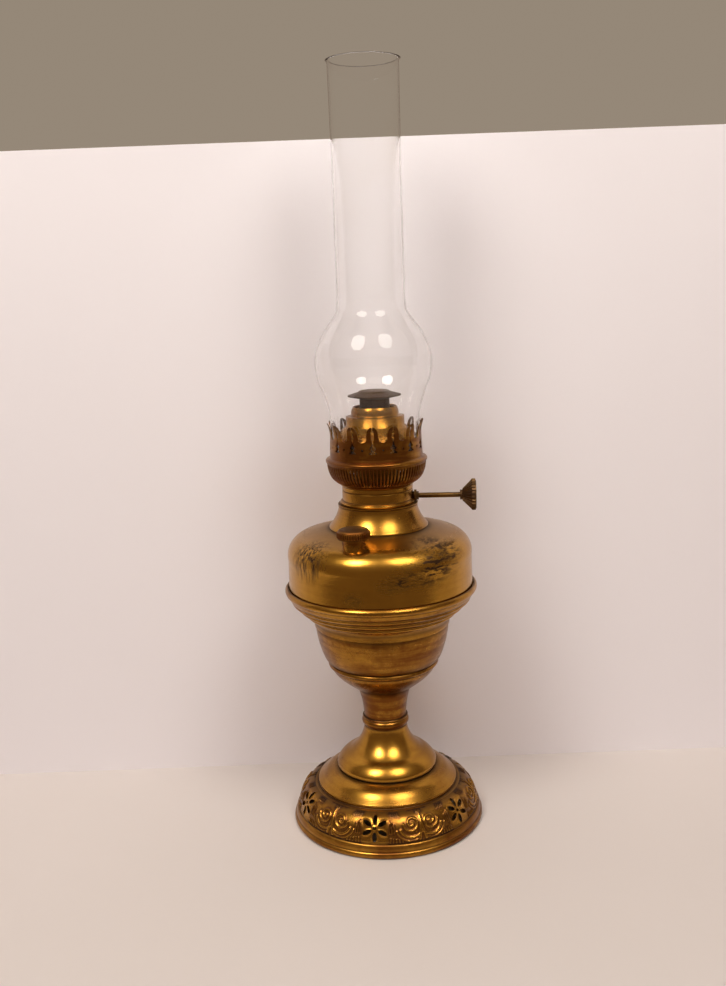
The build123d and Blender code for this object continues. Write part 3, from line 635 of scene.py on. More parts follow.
def scroll_relief(across, up, half_pitch, height):
    """Relief of the scrolls and leaves and the painted shade round them, both 0 to 1, at mm from a flower."""
    x = np.abs(across)
    level = np.zeros(x.shape)
    grime_and_shade = np.zeros(x.shape)

    def stroke(line, width, tall=1.0, taper=0.0):
        far, place = line_distance(x, up, line)
        wide = width * (1 - taper * place)
        shape = np.clip(1 - (far / wide) ** 2, 0, 1) ** 0.7 * tall
        np.maximum(level, shape, out=level)
        # Painted shade: a darkness that fades out about a millimetre from each stroke.
        np.maximum(grime_and_shade, np.exp(-np.maximum(far - wide, 0) / 1.1), out=grime_and_shade)

    middle = half_pitch
    eye = (middle - 7.2, height * 0.56)
    stroke(arc_line(*eye, 0.5, 6.0, 60, -600), 0.85, 1.0)
    stroke(arc_line(eye[0] - 0.6, eye[1] - 0.8, 8.2, 9.4, 205, 130), 1.3, 0.9, 0.5)
    stroke(arc_line(eye[0] - 1.0, eye[1] - 1.0, 10.6, 11.0, 200, 95), 0.9, 0.75, 0.6)
    stroke([(middle - 2.4, 2.0), (middle - 1.0, height * 0.35), (middle - 0.2, height * 0.6)], 1.2, 0.9, 0.4)
    stroke([(middle, height * 0.55), (middle, height * 0.92)], 1.4, 0.8, 0.5)
    stroke(arc_line(middle - 4.6, height * 0.92, 3.4, 3.0, -20, 150), 0.8, 0.7, 0.5)
    for k in range(5):
        foot = 10.6 + k * 2.2
        lean = 0.9 - k * 0.55
        stroke([(foot, 1.2), (foot + lean * 0.5, 4.2 - k * 0.35)], 0.75, 0.8, 0.4)
    for k in range(4):
        foot = 12.4 + k * 1.7
        stroke([(foot - 1.4, height * 0.90), (foot, height * 0.78)], 0.65, 0.6, 0.4)
    for k in range(3):
        foot = 10.4 + k * 1.5
        stroke([(foot, height * 0.30), (foot + 0.5, height * (0.66 - 0.05 * k))], 0.6, 0.65, 0.3)
    beads = np.abs(((up - 0.9) / 0.8)) < 1
    level = np.maximum(level, np.where(beads, 0.35 * (1 - ((up - 0.9) / 0.8) ** 2), 0))
    return level, grime_and_shade


def pierced_band(name, line, first_flower, material):
    """The foot's embossed band, a closed shell along a line in mm: scrolls between pierced flowers."""
    cell = 720  # places round the foot
    rows = 48  # places up the band
    size = sizes()
    flowers = size.flowers
    points = np.array(line)
    lengths = np.concatenate([[0], np.cumsum(np.hypot(*np.diff(points, axis=0).T))])
    total = lengths[-1]
    sector = 2 * math.pi / flowers
    turn = np.arange(cell) * 2 * math.pi / cell
    up = np.linspace(0, total, rows)
    turn_grid, rise = np.meshgrid(turn, up, indexing="ij")
    mean_radius = float(points[:, 0].mean()) + 1.5
    from_flower = (turn_grid - first_flower + sector / 2) % sector - sector / 2
    across = from_flower * mean_radius
    centre = total * 0.47
    hole = flower_distance(across, rise - centre, size.petals)
    step = 0.01
    slope_x = (flower_distance(across + step, rise - centre, size.petals) - hole) / step
    slope_y = (flower_distance(across, rise - centre + step, size.petals) - hole) / step
    steep = np.maximum(slope_x ** 2 + slope_y ** 2, 0.2)
    near = np.abs(hole) < 0.36
    inside_rows = (rise > total * 0.02) & (rise < total * 0.98)
    near &= inside_rows
    across = np.where(near, across - hole * slope_x / steep, across)
    rise = np.where(near, rise - hole * slope_y / steep, rise)
    open_place = (hole < 0) & ~near & inside_rows
    turned = turn_grid + across / mean_radius - from_flower
    along = np.clip(rise, 0, total)
    radius = np.interp(along, lengths, points[:, 0])
    level = np.interp(along, lengths, points[:, 1])
    slope = np.gradient(points, axis=0)
    slope /= np.linalg.norm(slope, axis=1)[:, None]
    normal_r = np.interp(along, lengths, slope[:, 1])
    normal_z = np.interp(along, lengths, -slope[:, 0])
    # The second result is painted shade round the scrolls.
    relief, relief_shade = scroll_relief(across, rise, sector * mean_radius / 2, total)
    edge = np.clip(np.minimum(rise, total - rise) / 1.2, 0, 1)
    rim = np.exp(-((np.maximum(hole, 0) / 0.8) ** 2)) * 0.35
    relief = np.maximum(relief * np.clip((np.abs(hole) - 0.2) / 1.2, 0, 1), rim) * edge
    lift = relief * size.relief / MM

    def grid_points(shift):
        r = radius + normal_r * shift
        z = level + normal_z * shift
        return np.stack([r * np.cos(turned), r * np.sin(turned), z], axis=-1).reshape(-1, 3) * MM

    outer = grid_points(lift)
    inner = grid_points(np.full_like(lift, -size.sheet / MM))
    keep = ~open_place
    count = cell * rows
    faces = []
    edges = {}
    for i in range(cell):
        ahead = (i + 1) % cell
        for j in range(rows - 1):
            if keep[i, j] and keep[ahead, j] and keep[ahead, j + 1] and keep[i, j + 1]:
                face = (i * rows + j, ahead * rows + j, ahead * rows + j + 1, i * rows + j + 1)
                faces.append(face)
                for a, b in zip(face, face[1:] + face[:1]):
                    if (b, a) in edges:
                        del edges[(b, a)]
                    else:
                        edges[(a, b)] = True
    walls = [(b, a, a + count, b + count) for a, b in edges]
    back = [tuple(v + count for v in reversed(face)) for face in faces]
    mesh = bpy.data.meshes.new(name)
    mesh.from_pydata(np.concatenate([outer, inner]).tolist(), [], faces + back + walls)
    # Stores the relief and the painted shade round it as attributes.
    for label, values in (("relief", relief), ("relief_shade", relief_shade)):
        told = np.concatenate([values.reshape(-1), np.zeros(count)]).astype(np.float32)
        mesh.attributes.new(label, "FLOAT", "POINT").data.foreach_set("value", told)
    built = bmesh.new()
    built.from_mesh(mesh)
    loose = [v for v in built.verts if not v.link_faces]
    bmesh.ops.delete(built, geom=loose, context="VERTS")
    bmesh.ops.recalc_face_normals(built, faces=built.faces)
    built.to_mesh(mesh)
    built.free()
    return placed(name, mesh, material, 60)


# ------------------------------------------------------------------ operators
class LAMP_OT_stage(bpy.types.Operator):
    """Make the floor, the soft lamps, the pale surroundings and the camera"""

    bl_idname = "lamp.stage"
    bl_label = "Stage"

    def execute(self, context):
        stage = context.scene.lamp_stage
        tone = colours()
        s = Shader("pale_floor")
        grain = s.noise(3.0, 4.0, 0.6)
        shade = s.blend(grain, tuple(tone.floor), tuple(c * 0.94 for c in tone.floor))
        s.set(Base_Color=shade, Roughness=0.62, Normal=s.bump(s.noise(700, 3.0), 0.0001, 0.2))
        reach = 3.0
        turned = Matrix.Rotation(stage.camera_turn, 4, "Z")
        ahead = Matrix.Translation((0, stage.wall_gap, 0))
        edge = -stage.table_edge
        floor = self.sheet("floor", reach, (edge, 0), (reach, 0))
        apron = self.sheet("floor_front", reach, (-reach, 0), (edge, 0))
        apron.visible_glossy = False
        for part in (floor, apron):
            part.data.materials.append(s.material)
        board = self.sheet("wall", reach, (0, 0), (0, stage.wall_height))
        board.data.transform(turned @ ahead)
        board.data.materials.append(self.board_finish())
        self.surroundings(context)

        middle = (CAD_BOX[0] + CAD_BOX[1]) / 2
        lamps = (
            ("left", -38, 47, 1.3, 0.55, stage.lamp_power * 1.2),
            ("right", 33, 49, 1.3, 0.55, stage.lamp_power),
            ("broad", -4, 62, 1.7, 1.5, stage.fill_power),
            ("glint_left", -38, 47, 1.3, 0.2, stage.glint_power * 1.1),
            ("glint_right", 33, 49, 1.3, 0.2, stage.glint_power),
        )
        for label, turn, rise, away, wide, power in lamps:
            data = bpy.data.lights.new("soft_" + label, "AREA")
            glint = label.startswith("glint")
            data.shape = "ELLIPSE" if glint else "DISK"
            data.size = wide
            data.size_y = wide * 2.2
            data.energy = power
            data.color = (1.0, 0.95, 0.89)
            lamp = bpy.data.objects.new("soft_" + label, data)
            lamp.visible_glossy = glint
            lamp.visible_diffuse = not glint
            a = math.radians(turn) + stage.camera_turn
            e = math.radians(rise)
            way = Vector((math.sin(a) * math.cos(e), -math.cos(a) * math.cos(e), math.sin(e)))
            lamp.location = Vector(middle) + way * away
            lamp.rotation_euler = way.to_track_quat("Z", "Y").to_euler()
            context.scene.collection.objects.link(lamp)

        data = bpy.data.cameras.new("camera")
        data.lens = stage.lens
        data.sensor_width = 36
        camera = bpy.data.objects.new("camera", data)
        context.scene.collection.objects.link(camera)
        round_lamp = Matrix.Rotation(stage.camera_turn, 4, "Z")
        place = Matrix.Translation((stage.camera_aside, -stage.camera_back, stage.camera_height))
        aim = Matrix.Rotation(math.pi / 2 - stage.camera_pitch, 4, "X")
        roll = Matrix.Rotation(stage.camera_roll, 4, "Z")
        camera.matrix_world = round_lamp @ place @ aim @ roll
        context.scene.camera = camera
        context.scene.view_settings.view_transform = "Standard"
        return {"FINISHED"}

    def sheet(self, name, reach, near, far):
        """One flat face for the set, as wide as reach each way, between two (y, z) lines."""
        mesh = bpy.data.meshes.new(name)
        mesh.from_pydata([(-reach, *near), (reach, *near), (reach, *far), (-reach, *far)], [], [(0, 1, 2, 3)])
        made = bpy.data.objects.new(name, mesh)
        bpy.context.scene.collection.objects.link(made)
        return made

    def board_finish(self):
        """Pale board that can only be seen from its front, so that it never hides the lamp."""
        tone = colours()
        s = Shader("pale_board")
        haze = s.noise(1.2, 2.0, 0.5)
        shaded = tuple(c * 0.97 for c in tone.wall)
        s.set(Base_Color=s.blend(haze, tuple(tone.wall), shaded), Roughness=0.75)
        behind = s.node("ShaderNodeNewGeometry", {}, {}, "Backfacing")
        clear = s.node("ShaderNodeBsdfTransparent", {}, {})
        coat = Wire(s, s.surface.outputs[0])
        seen = s.node("ShaderNodeMixShader", {}, {0: behind, 1: coat, 2: clear})
        out = next(n for n in s.tree.nodes if n.type == "OUTPUT_MATERIAL")
        s.link(out.inputs["Surface"], seen)
        return s.material

    def surroundings(self, context):
        """Pale air for the camera and a dim warm room for the metal to reflect."""
        tone = colours()
        sky = bpy.data.worlds.new("pale_room")
        sky.use_nodes = True
        tree = sky.node_tree
        room = next(n for n in tree.nodes if n.type == "BACKGROUND")
        room.inputs["Color"].default_value = (*tone.room, 1)
        air = tree.nodes.new("ShaderNodeBackground")
        air.inputs["Color"].default_value = (*tone.air, 1)
        rays = tree.nodes.new("ShaderNodeLightPath")
        mixed = tree.nodes.new("ShaderNodeMixShader")
        either = tree.nodes.new("ShaderNodeMath")
        either.operation = "MAXIMUM"
        tree.links.new(rays.outputs["Is Camera Ray"], either.inputs[0])
        tree.links.new(rays.outputs["Is Transmission Ray"], either.inputs[1])
        tree.links.new(either.outputs[0], mixed.inputs[0])
        tree.links.new(room.outputs[0], mixed.inputs[1])
        tree.links.new(air.outputs[0], mixed.inputs[2])
        tree.links.new(mixed.outputs[0], next(n for n in tree.nodes if n.type == "OUTPUT_WORLD").inputs[0])
        context.scene.world = sky


class LAMP_OT_foot(bpy.types.Operator):
    """Make the foot: rolled bead, embossed and pierced band, step ring and shoulder"""

    bl_idname = "lamp.foot"
    bl_label = "Foot"

    def execute(self, context):
        reach, low, high = span("foot_shell")
        sheet = sizes().sheet / MM
        rim = reach - 2.45
        bead_top = low + 10
        band_top = low + 28.2
        step = 51.9
        inner = span("foot_dome")[0]
        bead = curve_through(
            [(rim - 2.4, low), (rim + 0.7, low), (reach - 0.3, low + 1.3)]
            + [(reach, low + 2.7), (reach - 0.5, low + 4.1), (reach - 1.1, low + 4.8)]
            + [(reach - 1.4, low + 6.9), (reach - 1.6, low + 7.7), (rim + 0.4, low + 9)]
            + [(rim - 0.2, bead_top - 0.2), (rim - 0.9, bead_top)]
        )
        # Painted shade where the bead meets the band, where it sits on the floor and in the crease round its
        # middle.
        dark = [(bead_top + 0.4, 1.3, 1.0), (low, 1.5, 0.8), (low + 5.0, 0.9, 0.8)]
        finish = brass_finish("foot_bead_brass", dark, 0.95, polish=0.22)
        piece = lathe("foot_bead", walled(bead, sheet), finish, 180)
        settle(piece, "lamp", "aged_brass", "foot_shell")
        line = curve_through(
            [(rim - 0.9, bead_top), (65.9, low + 15.5), (63.4, low + 21.6)]
            + [(59.4, low + 26.0), (54.5, band_top)],
            10,
        )
        finish = embossed_finish("embossed_brass", bead_top, band_top)
        piece = pierced_band("foot_band", line, sizes().first_flower, finish)
        settle(piece, "lamp", "aged_brass", "foot_shell")
        edge = [(55.2, band_top - 0.3), (54.2, band_top - 0.2), (52.1, band_top + 0.25)]
        ring = curve_through(
            [(51.9, band_top + 0.5), (step, band_top + 2.4), (step - 0.9, band_top + 3.3)]
            + [(48.2, band_top + 5.6), (44.5, band_top + 8.9), (40.6, high - 1.2)]
            + [(inner + 0.9, high - 0.4), (inner - 1.5, high)]
        )
        # Painted shade under the step ring's edge and where the shoulder meets the dome.
        finish = brass_finish("foot_step_brass", [(band_top + 0.3, 1.5, 1.0), (high, 1.7, 0.9)], 0.66)
        piece = lathe("foot_step", walled(edge + ring, sheet), finish, 180)
        settle(piece, "lamp", "aged_brass", "foot_shell")
        return {"FINISHED"}


class LAMP_OT_stand(bpy.types.Operator):
    """Finish the dome, knop, stem, bowl and tray, and the rod that holds them together"""

    bl_idname = "lamp.stand"
    bl_label = "Stand"

    def execute(self, context):
        low, high = span("foot_dome")[1:]
        # Painted shade at the joins above and below each part, and in the knop's groove.
        spun("foot_dome", "dome_brass", [(low, 1.8, 1.0), (high, 3.0, 0.7)], 0.6)
        low, high = span("knop_ring")[1:]
        spun("knop_ring", "knop_brass", [(low, 1.3, 0.9), (high - 1.7, 0.8, 0.8), (high, 1.0, 0.9)], 1.05)
        low, high = span("stem_tube")[1:]
        spun("stem_tube", "stem_brass", [(low, 1.5, 0.9), (high, 5.0, 0.8)], 1.1)
        self.bowl()
        self.tray()
        steel = steel_finish("plain_steel")
        for node in ("tie_rod", "tie_washers", "tie_nuts"):
            paint(node, steel)
        return {"FINISHED"}

    def bowl(self):
        """Deep bowl with a stepped moulding a third of the way up."""
        reach, low, high = span("bowl")
        step = low + 17.5
        outline = curve_through(
            [(21.6, low), (27.5, low + 4.4), (33.0, low + 9.0)]
            + [(36.9, low + 13.4), (38.6, step - 0.6)],
            8,
        )
        outline += curve_through(
            [(39.9, step + 0.1), (40.6, step + 1.2), (40.1, step + 2.6)]
            + [(39.5, step + 3.2), (40.9, step + 4.3), (42.9, step + 7.0)]
            + [(44.9, step + 12.0), (46.8, step + 18.4), (48.1, step + 25.0)]
            + [(reach, high - 4.0), (reach, high)],
            8,
        )
        # Painted shade at the bowl's foot, in the creases of its stepped moulding and under the tray's lip.
        grooves = [(low, 5, 0.7), (step - 0.7, 1.2, 1.0), (step + 3.6, 1.6, 0.85)]
        grooves += [(step + 6.5, 4, 0.3), (high - 3.0, 3, 0.5)]
        finish = brass_finish("bowl_brass", grooves, 0.92)
        piece = lathe("bowl_turned", walled(outline, sizes().sheet / MM), finish, 168)
        settle(piece, "lamp", "aged_brass", "bowl")

    def tray(self):
        """Tray with a rolled lip and three fine ridges under it."""
        reach, low, high = span("tray")
        ridges = [(54.6, low + 9.4), (59.6, low + 14.0), (64.2, low + 18.6)]
        points = [(49.5, low), (50.0, low + 3.4), (51.3, low + 6.2)]
        for r, z in ridges:
            points += [(r - 1.5, z - 1.4), (r + 0.1, z - 1.0), (r + 0.9, z + 0.1)]
            points += [(r + 0.8, z + 1.1)]
        points += [(66.6, low + 21.6), (67.6, low + 23.9), (67.9, low + 24.5)]
        points += [(68.9, low + 24.9), (reach, low + 26.3), (reach - 0.2, low + 28.0)]
        points += [(reach - 1.2, high - 0.3), (reach - 2.1, high)]
        # Painted shade in the crease above each ridge, at the tray's foot, under its lip and at its top where
        # the drum sits.
        grooves = [(z + 1.7, 1.1, 0.9) for r, z in ridges]
        grooves += [(low + 4, 4.0, 0.6), (low + 24.4, 1.0, 0.9), (high, 1.0, 0.7)]
        finish = brass_finish("tray_brass", grooves, 0.72)
        piece = lathe("tray_turned", walled(curve_through(points, 5), sizes().sheet / MM), finish, 192, 50)
        settle(piece, "lamp", "aged_brass", "tray")


class LAMP_OT_font(bpy.types.Operator):
    """Finish the oil font with its tarnish stains, the neck, the collar and the filler"""

    bl_idname = "lamp.font"
    bl_label = "Font"

    def execute(self, context):
        reach, low, high = span("font_drum")
        brushed = (520, 520, 70)
        slanted = (150, 60, 460)
        stains = [
            ((-47, -44, high - 13), 24, 1.0, (1.0, 1.0, 1.15), brushed),
            ((30, -55, high - 22), 22, 0.85, (0.75, 1.0, 1.5), slanted),
            ((44, -42, high - 11), 25, 0.9, (0.8, 1.0, 1.2), slanted),
            ((12, -64, high - 27), 12, 0.6, (0.8, 1.0, 1.5), slanted),
            ((-14, -64, high - 37), 9, 0.6, (1.0, 1.0, 1.4), slanted),
        ]
        # Painted shade at the drum's foot and where it meets the neck; the broad band darkens the top of the
        # shoulder.
        grooves = [(low + 4, 4.0, 0.6), (high + 1, 11.0, 0.75), (high, 1.6, 0.5)]
        spun("font_drum", "font_brass", grooves, 0.42, stains)
        low, high = span("font_neck")[1:]
        # Painted shade at the neck's joins and at the collar's top.
        spun("font_neck", "neck_brass", [(low, 1.0, 0.7), (high, 1.8, 0.9)], 0.62)
        spun("font_collar", "collar_brass", [(span("font_collar")[2], 0.5, 0.6)], 0.5)
        paint("font_pan", brass_finish("pan_brass", (), 0.6, polish=0.35))
        filler = refined("filler_neck", brass_finish("filler_brass", (), 0.95))
        settle(filler, "lamp", "plain_brass", "filler_neck")
        paint("filler_gasket", cork_finish("cork"))
        return {"FINISHED"}


class LAMP_OT_filler_cap(bpy.types.Operator):
    """Make the knurled filler cap"""

    bl_idname = "lamp.filler_cap"
    bl_label = "Filler cap"

    def execute(self, context):
        low, high = corners("filler_cap")
        centre = ((low[0] + high[0]) / 2, (low[1] + high[1]) / 2)
        reach = (high[0] - low[0]) / 2
        tall = high[2] - low[2]
        bore = 8.15
        body = reach - 0.55
        outline = [(bore, 0), (body, 0), (body + 0.1, 0.3), (body, 0.8), (body, tall - 1.4)]
        outline += [(body - 0.4, tall - 0.7), (body - 1.6, tall - 0.1), (0.2, tall)]
        outline += [(0.2, tall - 1.4), (bore, tall - 1.4)]
        # Painted shade at the cap's foot; the top is darker with patina.
        grooves = [(low[2] + 0.4, 0.8, 0.7), (high[2], 2.2, 0.85)]
        finish = brass_finish("cap_brass", grooves, 1.1, polish=0.28)
        body_piece = lathe("cap_body", outline, finish, 96)
        half = math.pi / sizes().cap_teeth * 0.62
        section = [(body - 0.2, -half), (reach + 0.25, -half * 0.35), (reach + 0.25, half * 0.35)]
        section += [(body - 0.2, half)]
        levels = (0.9, 1.3, tall - 2.2, tall - 1.6)
        pull = (0.5, 0, 0, 0.7)
        vertices = []
        for level, inset in zip(levels, pull):
            for r, a in section:
                far = max(r - inset, body - 0.2)
                vertices.append((far * math.cos(a), far * math.sin(a), level))
        tooth = add_mesh("cap_knurls", vertices, bar_faces(len(levels), len(section)), finish)
        teeth = round_array(tooth, sizes().cap_teeth, finish)
        cap = joined("filler_cap_knurled", body_piece, teeth)
        cap.data.transform(Matrix.Translation(Vector((*centre, low[2])) * MM))
        settle(cap, "cap", "aged_brass", "filler_cap")
        return {"FINISHED"}


class LAMP_OT_burner(bpy.types.Operator):
    """Finish the burner body, wick tubes and winder, and make the slotted air basket"""

    bl_idname = "lamp.burner"
    bl_label = "Burner"

    def execute(self, context):
        self.body()
        inside = brass_finish("tube_brass", (), 0.8, polish=0.35)
        for node in ("burner_deck", "inner_tube", "outer_tube", "air_duct", "pinion_bracket"):
            paint(node, inside)
        dark = dark_finish("toned_brass", 0.2)
        settle(refined("shaft_gland", dark), "burner", "dark_brass", "shaft_gland")
        shaft = refined("winder_shaft", dark_finish("shaft_brass", 0.22, 0.28))
        settle(shaft, "winder", "dark_brass", "winder_shaft")
        paint("winder_pinion", inside)
        paint("wick", cotton_finish("wick_cotton", span("wick")[2]))
        paint("wick_carrier", inside)
        self.basket(brass_finish("basket_brass", (), 1.15, polish=0.24))
        return {"FINISHED"}

    def body(self):
        """Burner body: screw skirt, beaded flange, two bands with a groove between and a thin top ridge."""
        low, high = span("burner_body")[1:]
        base = high - 14.9
        bore = 22.6
        points = [(bore, low), (23.8, low), (23.8, base), (25.6, base), (26.6, base + 0.3)]
        points += [(27.0, base + 1.2), (26.6, base + 2.2), (25.6, base + 2.6)]
        points += [(25.3, base + 2.9), (25.3, base + 9.2), (24.9, base + 9.6)]
        points += [(24.9, base + 10.0), (25.3, base + 10.4), (25.3, high - 1.7)]
        points += [(25.9, high - 1.3), (26.4, high - 0.7), (26.0, high), (23.6, high)]
        points += [(23.6, base + 1.2), (bore, base + 1.2)]
        # Painted shade in the groove between the bands, above and below the flange bead, under the top ridge
        # and at the foot.
        grooves = [(base + 9.8, 0.7, 1.0), (base + 2.9, 0.7, 1.0), (high - 1.7, 0.7, 0.9)]
        finish = brass_finish("burner_brass", [*grooves, (base, 0.6, 1.0)], 0.55)
        piece = lathe("burner_turned", points, finish, 144)
        settle(piece, "burner", "aged_brass", "burner_body")

    def basket(self, finish):
        """Plain bands above and below a ring of narrow bent ribs."""
        reach, low, high = span("air_basket")
        sheet = sizes().sheet / MM
        tall = high - low
        belly = curve_through(
            [(24.6, low + 0.3), (26.8, low + 0.25), (29.4, low + tall * 0.11)]
            + [(31.9, low + tall * 0.27), (33.7, low + tall * 0.5), (34.6, low + tall * 0.75)]
            + [(reach, high)],
            8,
        )
        count = len(belly)
        slot_low = int(count * 0.27)
        slot_high = int(count * 0.86)
        bottom = lathe("basket_foot", walled(belly[: slot_low + 1], sheet), finish, 168)
        top = lathe("basket_top", walled(belly[slot_high:], sheet), finish, 168)
        half = math.pi / sizes().slots
        ribs = belly[slot_low - 1 : slot_high + 2]
        outline = walled(ribs, sheet)
        inward = len(outline) // 2
        sides = (-0.56, -0.3, 0.3, 0.56)
        vertices = []
        for share in sides:
            for k, (r, z) in enumerate(outline):
                crown = 0.45 if abs(share) < 0.5 and k < inward else 0.0
                a = half * share
                vertices.append(((r + crown) * math.cos(a), (r + crown) * math.sin(a), z))
        rib = add_mesh("basket_ribs", vertices, bar_faces(len(sides), len(outline)), finish)
        basket = joined("air_basket_ribbed", bottom, top, round_array(rib, sizes().slots, finish))
        settle(basket, "burner", "dark_brass", "air_basket")


class LAMP_OT_knob(bpy.types.Operator):
    """Make the ridged winder knob"""

    bl_idname = "lamp.knob"
    bl_label = "Winder knob"

    def execute(self, context):
        low, high = corners("winder_knob")
        reach = (high[2] - low[2]) / 2
        axis_level = (high[2] + low[2]) / 2
        wide = high[0] - low[0]
        rim = 3.2
        shaft = 1.87
        outline = [(shaft, 0), (3.4, 0), (3.7, 0.5), (3.4, 1.3), (4.2, 2.2)]
        outline += [(reach - 1.3, wide - rim - 0.6), (reach - 0.5, wide - rim)]
        outline += [(reach - 0.2, wide - rim * 0.5), (reach - 0.5, wide - 0.4)]
        outline += [(reach - 1.5, wide - 0.05), (0.2, wide - 0.3), (0.2, wide - 3.0)]
        outline += [(shaft, wide - 3.2)]
        finish = dark_finish("knob_brass", 0.10, 0.42)
        body = lathe("knob_body", outline, finish, 112)
        half = math.pi / sizes().knob_teeth * 0.5
        vertices = []
        path = [(4.0, 2.0), (reach - 1.3, wide - rim - 0.6)]
        path += [(reach - 0.1, wide - rim + 0.1), (reach - 0.1, wide - 0.7)]
        tall = 0.35
        for r, z in path:
            side = (r - 0.3) * math.cos(half)
            aside = (r - 0.3) * math.sin(half)
            crest = z - tall * 0.6 if z < wide - rim else z
            vertices += [(side, -aside, z), (r + tall, 0, crest), (side, aside, z)]
        ridge = add_mesh("knob_ridges", vertices, bar_faces(len(path), 3), finish)
        teeth = round_array(ridge, sizes().knob_teeth, finish)
        knob = joined("winder_knob_ridged", body, teeth)
        to_x = Matrix(((0, 0, 1, low[0] * MM), (1, 0, 0, 0), (0, 1, 0, axis_level * MM), (0, 0, 0, 1)))
        knob.data.transform(to_x)
        settle(knob, "winder", "dark_brass", "winder_knob")
        return {"FINISHED"}


class LAMP_OT_gallery(bpy.types.Operator):
    """Make the gallery: a beaded ring and a crown of sprung prongs with pierced openings"""

    bl_idname = "lamp.gallery"
    bl_label = "Gallery"

    def execute(self, context):
        reach, low, high = span("gallery")
        # Painted shade where the ring sits on the burner; the wide band darkens the top of the crown.
        finish = brass_finish("gallery_brass", [(low, 0.8, 0.8), (high, 12, 0.8)], 1.15, polish=0.2)
        wall = reach - 3.1
        thick = 0.6
        seat = low + 1.2
        ring = [(wall - thick, seat + 3.9), (wall - thick, seat + 0.9), (27.5, seat + 0.9)]
        ring += [(27.5, seat), (reach - 1.3, seat), (reach - 0.9, low + 0.3)]
        ring += [(reach - 0.4, low), (reach, low + 0.6), (reach, low + 1.7), (reach - 0.5, low + 2.4)]
        ring += [(reach - 1.4, low + 2.9), (wall + 0.3, low + 3.5), (wall, seat + 3.9)]
        base = lathe("gallery_ring", ring, finish, 168)
        crown = round_array(self.unit(wall, thick, seat + 3.7, high, finish), sizes().prongs, finish)
        gallery = joined("gallery_crown", base, crown)
        settle(gallery, "gallery", "dark_brass", "gallery")
        cone = brass_finish("cone_brass", (), 0.95, polish=0.16)
        settle(refined("draught_cone", cone), "gallery", "dark_brass", "draught_cone")
        return {"FINISHED"}

    def unit(self, wall, thick, low, high, finish):
        """One unit of the crown: a plate with a U window, half a cross at each side and two curled legs."""
        half = math.pi * wall / sizes().prongs
        tall = high - low
        side = [(1.0, 0.0), (1.0, 0.19), (0.61, 0.19), (0.66, 0.235), (0.84, 0.27), (0.83, 0.31)]
        side += [(0.70, 0.335)]
        side += [(0.69, 0.375), (0.84, 0.42), (0.925, 0.48), (0.93, 0.55), (0.875, 0.63), (0.86, 0.75)]
        side += [(0.88, 0.86), (0.97, 0.95), (0.93, 1.0), (0.80, 0.985), (0.62, 0.93), (0.50, 0.85)]
        side += [(0.44, 0.74)]
        bottom = [(0.42 * math.cos(a), 0.62 - 0.09 * math.sin(a)) for a in np.linspace(0, math.pi / 2, 7)]
        right = side + bottom
        left = [(-x, y) for x, y in reversed(right[:-1])]
        outline = [(x * half, low + y * tall) for x, y in right + left]
        eye = (0.0, low + 0.30 * tall)
        hole = [(0.8 * math.cos(a), eye[1] + 0.8 * math.sin(a)) for a in np.arange(10) * math.pi / 5]
        flat = bmesh.new()
        loops = []
        for line in (outline, hole):
            made = [flat.verts.new((x, 0, z)) for x, z in line]
            loops += [flat.edges.new((a, b)) for a, b in zip(made, made[1:] + made[:1])]
        bmesh.ops.triangle_fill(flat, use_beauty=True, edges=loops)
        cuts = [((x, 0, 0), (1, 0, 0)) for x in np.linspace(-half, half, 9)[1:-1]]
        cuts += [((0, 0, z), (0, 0, 1)) for z in np.linspace(low, high, 13)[6:-1]]
        for place, way in cuts:
            everything = flat.verts[:] + flat.edges[:] + flat.faces[:]
            bmesh.ops.bisect_plane(flat, geom=everything, plane_co=place, plane_no=way, dist=1e-4)
        bmesh.ops.recalc_face_normals(flat, faces=flat.faces)
        bmesh.ops.solidify(flat, geom=flat.faces[:], thickness=thick)
        bmesh.ops.remove_doubles(flat, verts=flat.verts, dist=1e-4)
        for v in flat.verts:
            share = (v.co.z - low) / tall
            curl = max(0.0, (share - 0.5) / 0.5)
            depth = v.co.y
            angle = v.co.x / wall
            bend = 2.6 * curl ** 2.4 - 1.1 * share
            r = wall - abs(depth) + bend
            v.co = Vector((r * math.cos(angle), r * math.sin(angle), v.co.z)) * MM
        bmesh.ops.recalc_face_normals(flat, faces=flat.faces)
        mesh = bpy.data.meshes.new("gallery_unit")
        flat.to_mesh(mesh)
        flat.free()
        made = bpy.data.objects.new("gallery_unit", mesh)
        bpy.context.scene.collection.objects.link(made)
        return made


class LAMP_OT_spreader(bpy.types.Operator):
    """Finish the flame spreader"""

    bl_idname = "lamp.spreader"
    bl_label = "Flame spreader"

    def execute(self, context):
        burnt = dark_finish("spreader_brass", 0.08, 0.45)
        settle(refined("spreader_stem", burnt), "spreader", "burnt_brass", "spreader_stem")
        settle(refined("spreader_disc", burnt, 25), "spreader", "burnt_brass", "spreader_disc")
        return {"FINISHED"}


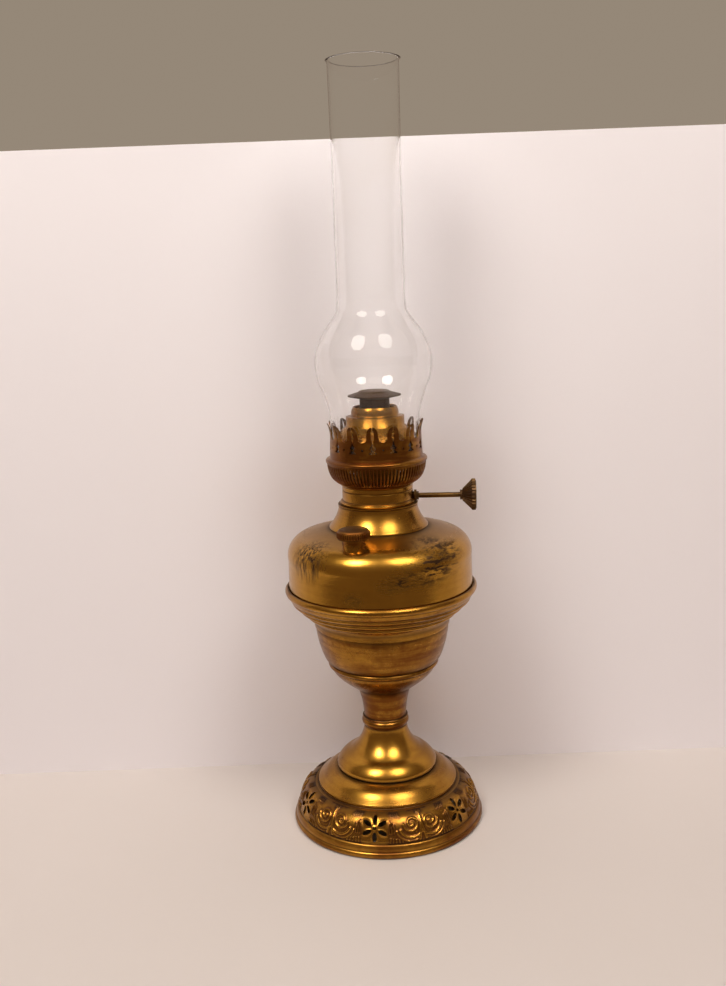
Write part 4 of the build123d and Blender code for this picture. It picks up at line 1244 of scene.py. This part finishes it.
class LAMP_OT_chimney(bpy.types.Operator):
    """Blow the glass chimney"""

    bl_idname = "lamp.chimney"
    bl_label = "Chimney"

    def execute(self, context):
        bulge, low, high = span("chimney")
        tube = 24.1
        foot = 31.9
        thick = sizes().glass / MM
        line = curve_through(
            [(foot, low), (foot, low + 15), (foot, low + 29), (foot + 1.2, low + 37)]
            + [(foot + 4.4, low + 47), (bulge - 1.6, low + 56), (bulge, low + 66)]
            + [(bulge - 1.0, low + 76), (bulge - 5.6, low + 87), (tube + 5.6, low + 95.5)]
            + [(tube + 1.5, low + 101.5), (tube, low + 108), (tube - 0.3, low + 130)]
            + [(tube - 0.5, low + 200), (tube - 0.1, high - 8), (tube, high)],
            8,
        )
        chimney = lathe("chimney_glass", walled(line, thick), glass_finish("lamp_glass"), 160, 50)
        settle(chimney, "chimney", "glass", "chimney")
        return {"FINISHED"}


class LAMP_PT_panel(bpy.types.Panel):
    """The lamp's settings and the steps that build it"""

    bl_idname = "LAMP_PT_panel"
    bl_label = "Oil lamp"
    bl_space_type = "VIEW_3D"
    bl_region_type = "UI"
    bl_category = "Oil lamp"

    def draw(self, context):
        for label, group in (("Colours", "lamp_colours"), ("Sizes", "lamp_sizes"), ("Stage", "lamp_stage")):
            box = self.layout.box()
            box.label(text=label)
            settings = getattr(context.scene, group)
            for name in settings.bl_rna.properties.keys():
                if name not in ("rna_type", "name"):
                    box.prop(settings, name)
        for operator in STEPS:
            self.layout.operator(operator.bl_idname)


GROUPS = {"lamp_colours": LampColours, "lamp_sizes": LampSizes, "lamp_stage": LampStage}
STEPS = (
    LAMP_OT_stage,
    LAMP_OT_foot,
    LAMP_OT_stand,
    LAMP_OT_font,
    LAMP_OT_filler_cap,
    LAMP_OT_burner,
    LAMP_OT_knob,
    LAMP_OT_gallery,
    LAMP_OT_spreader,
    LAMP_OT_chimney,
)


def register():
    """Registers the settings, the steps and the panel."""
    for name, group in GROUPS.items():
        bpy.utils.register_class(group)
        setattr(bpy.types.Scene, name, PointerProperty(type=group))
    for step in STEPS:
        bpy.utils.register_class(step)
    bpy.utils.register_class(LAMP_PT_panel)


def unregister():
    """Takes away what register added."""
    bpy.utils.unregister_class(LAMP_PT_panel)
    for step in reversed(STEPS):
        bpy.utils.unregister_class(step)
    for name, group in GROUPS.items():
        delattr(bpy.types.Scene, name)
        bpy.utils.unregister_class(group)


def main():
    register()
    for step in STEPS:
        group, name = step.bl_idname.split(".")
        getattr(getattr(bpy.ops, group), name)()


if __name__ == "__main__":
    main()
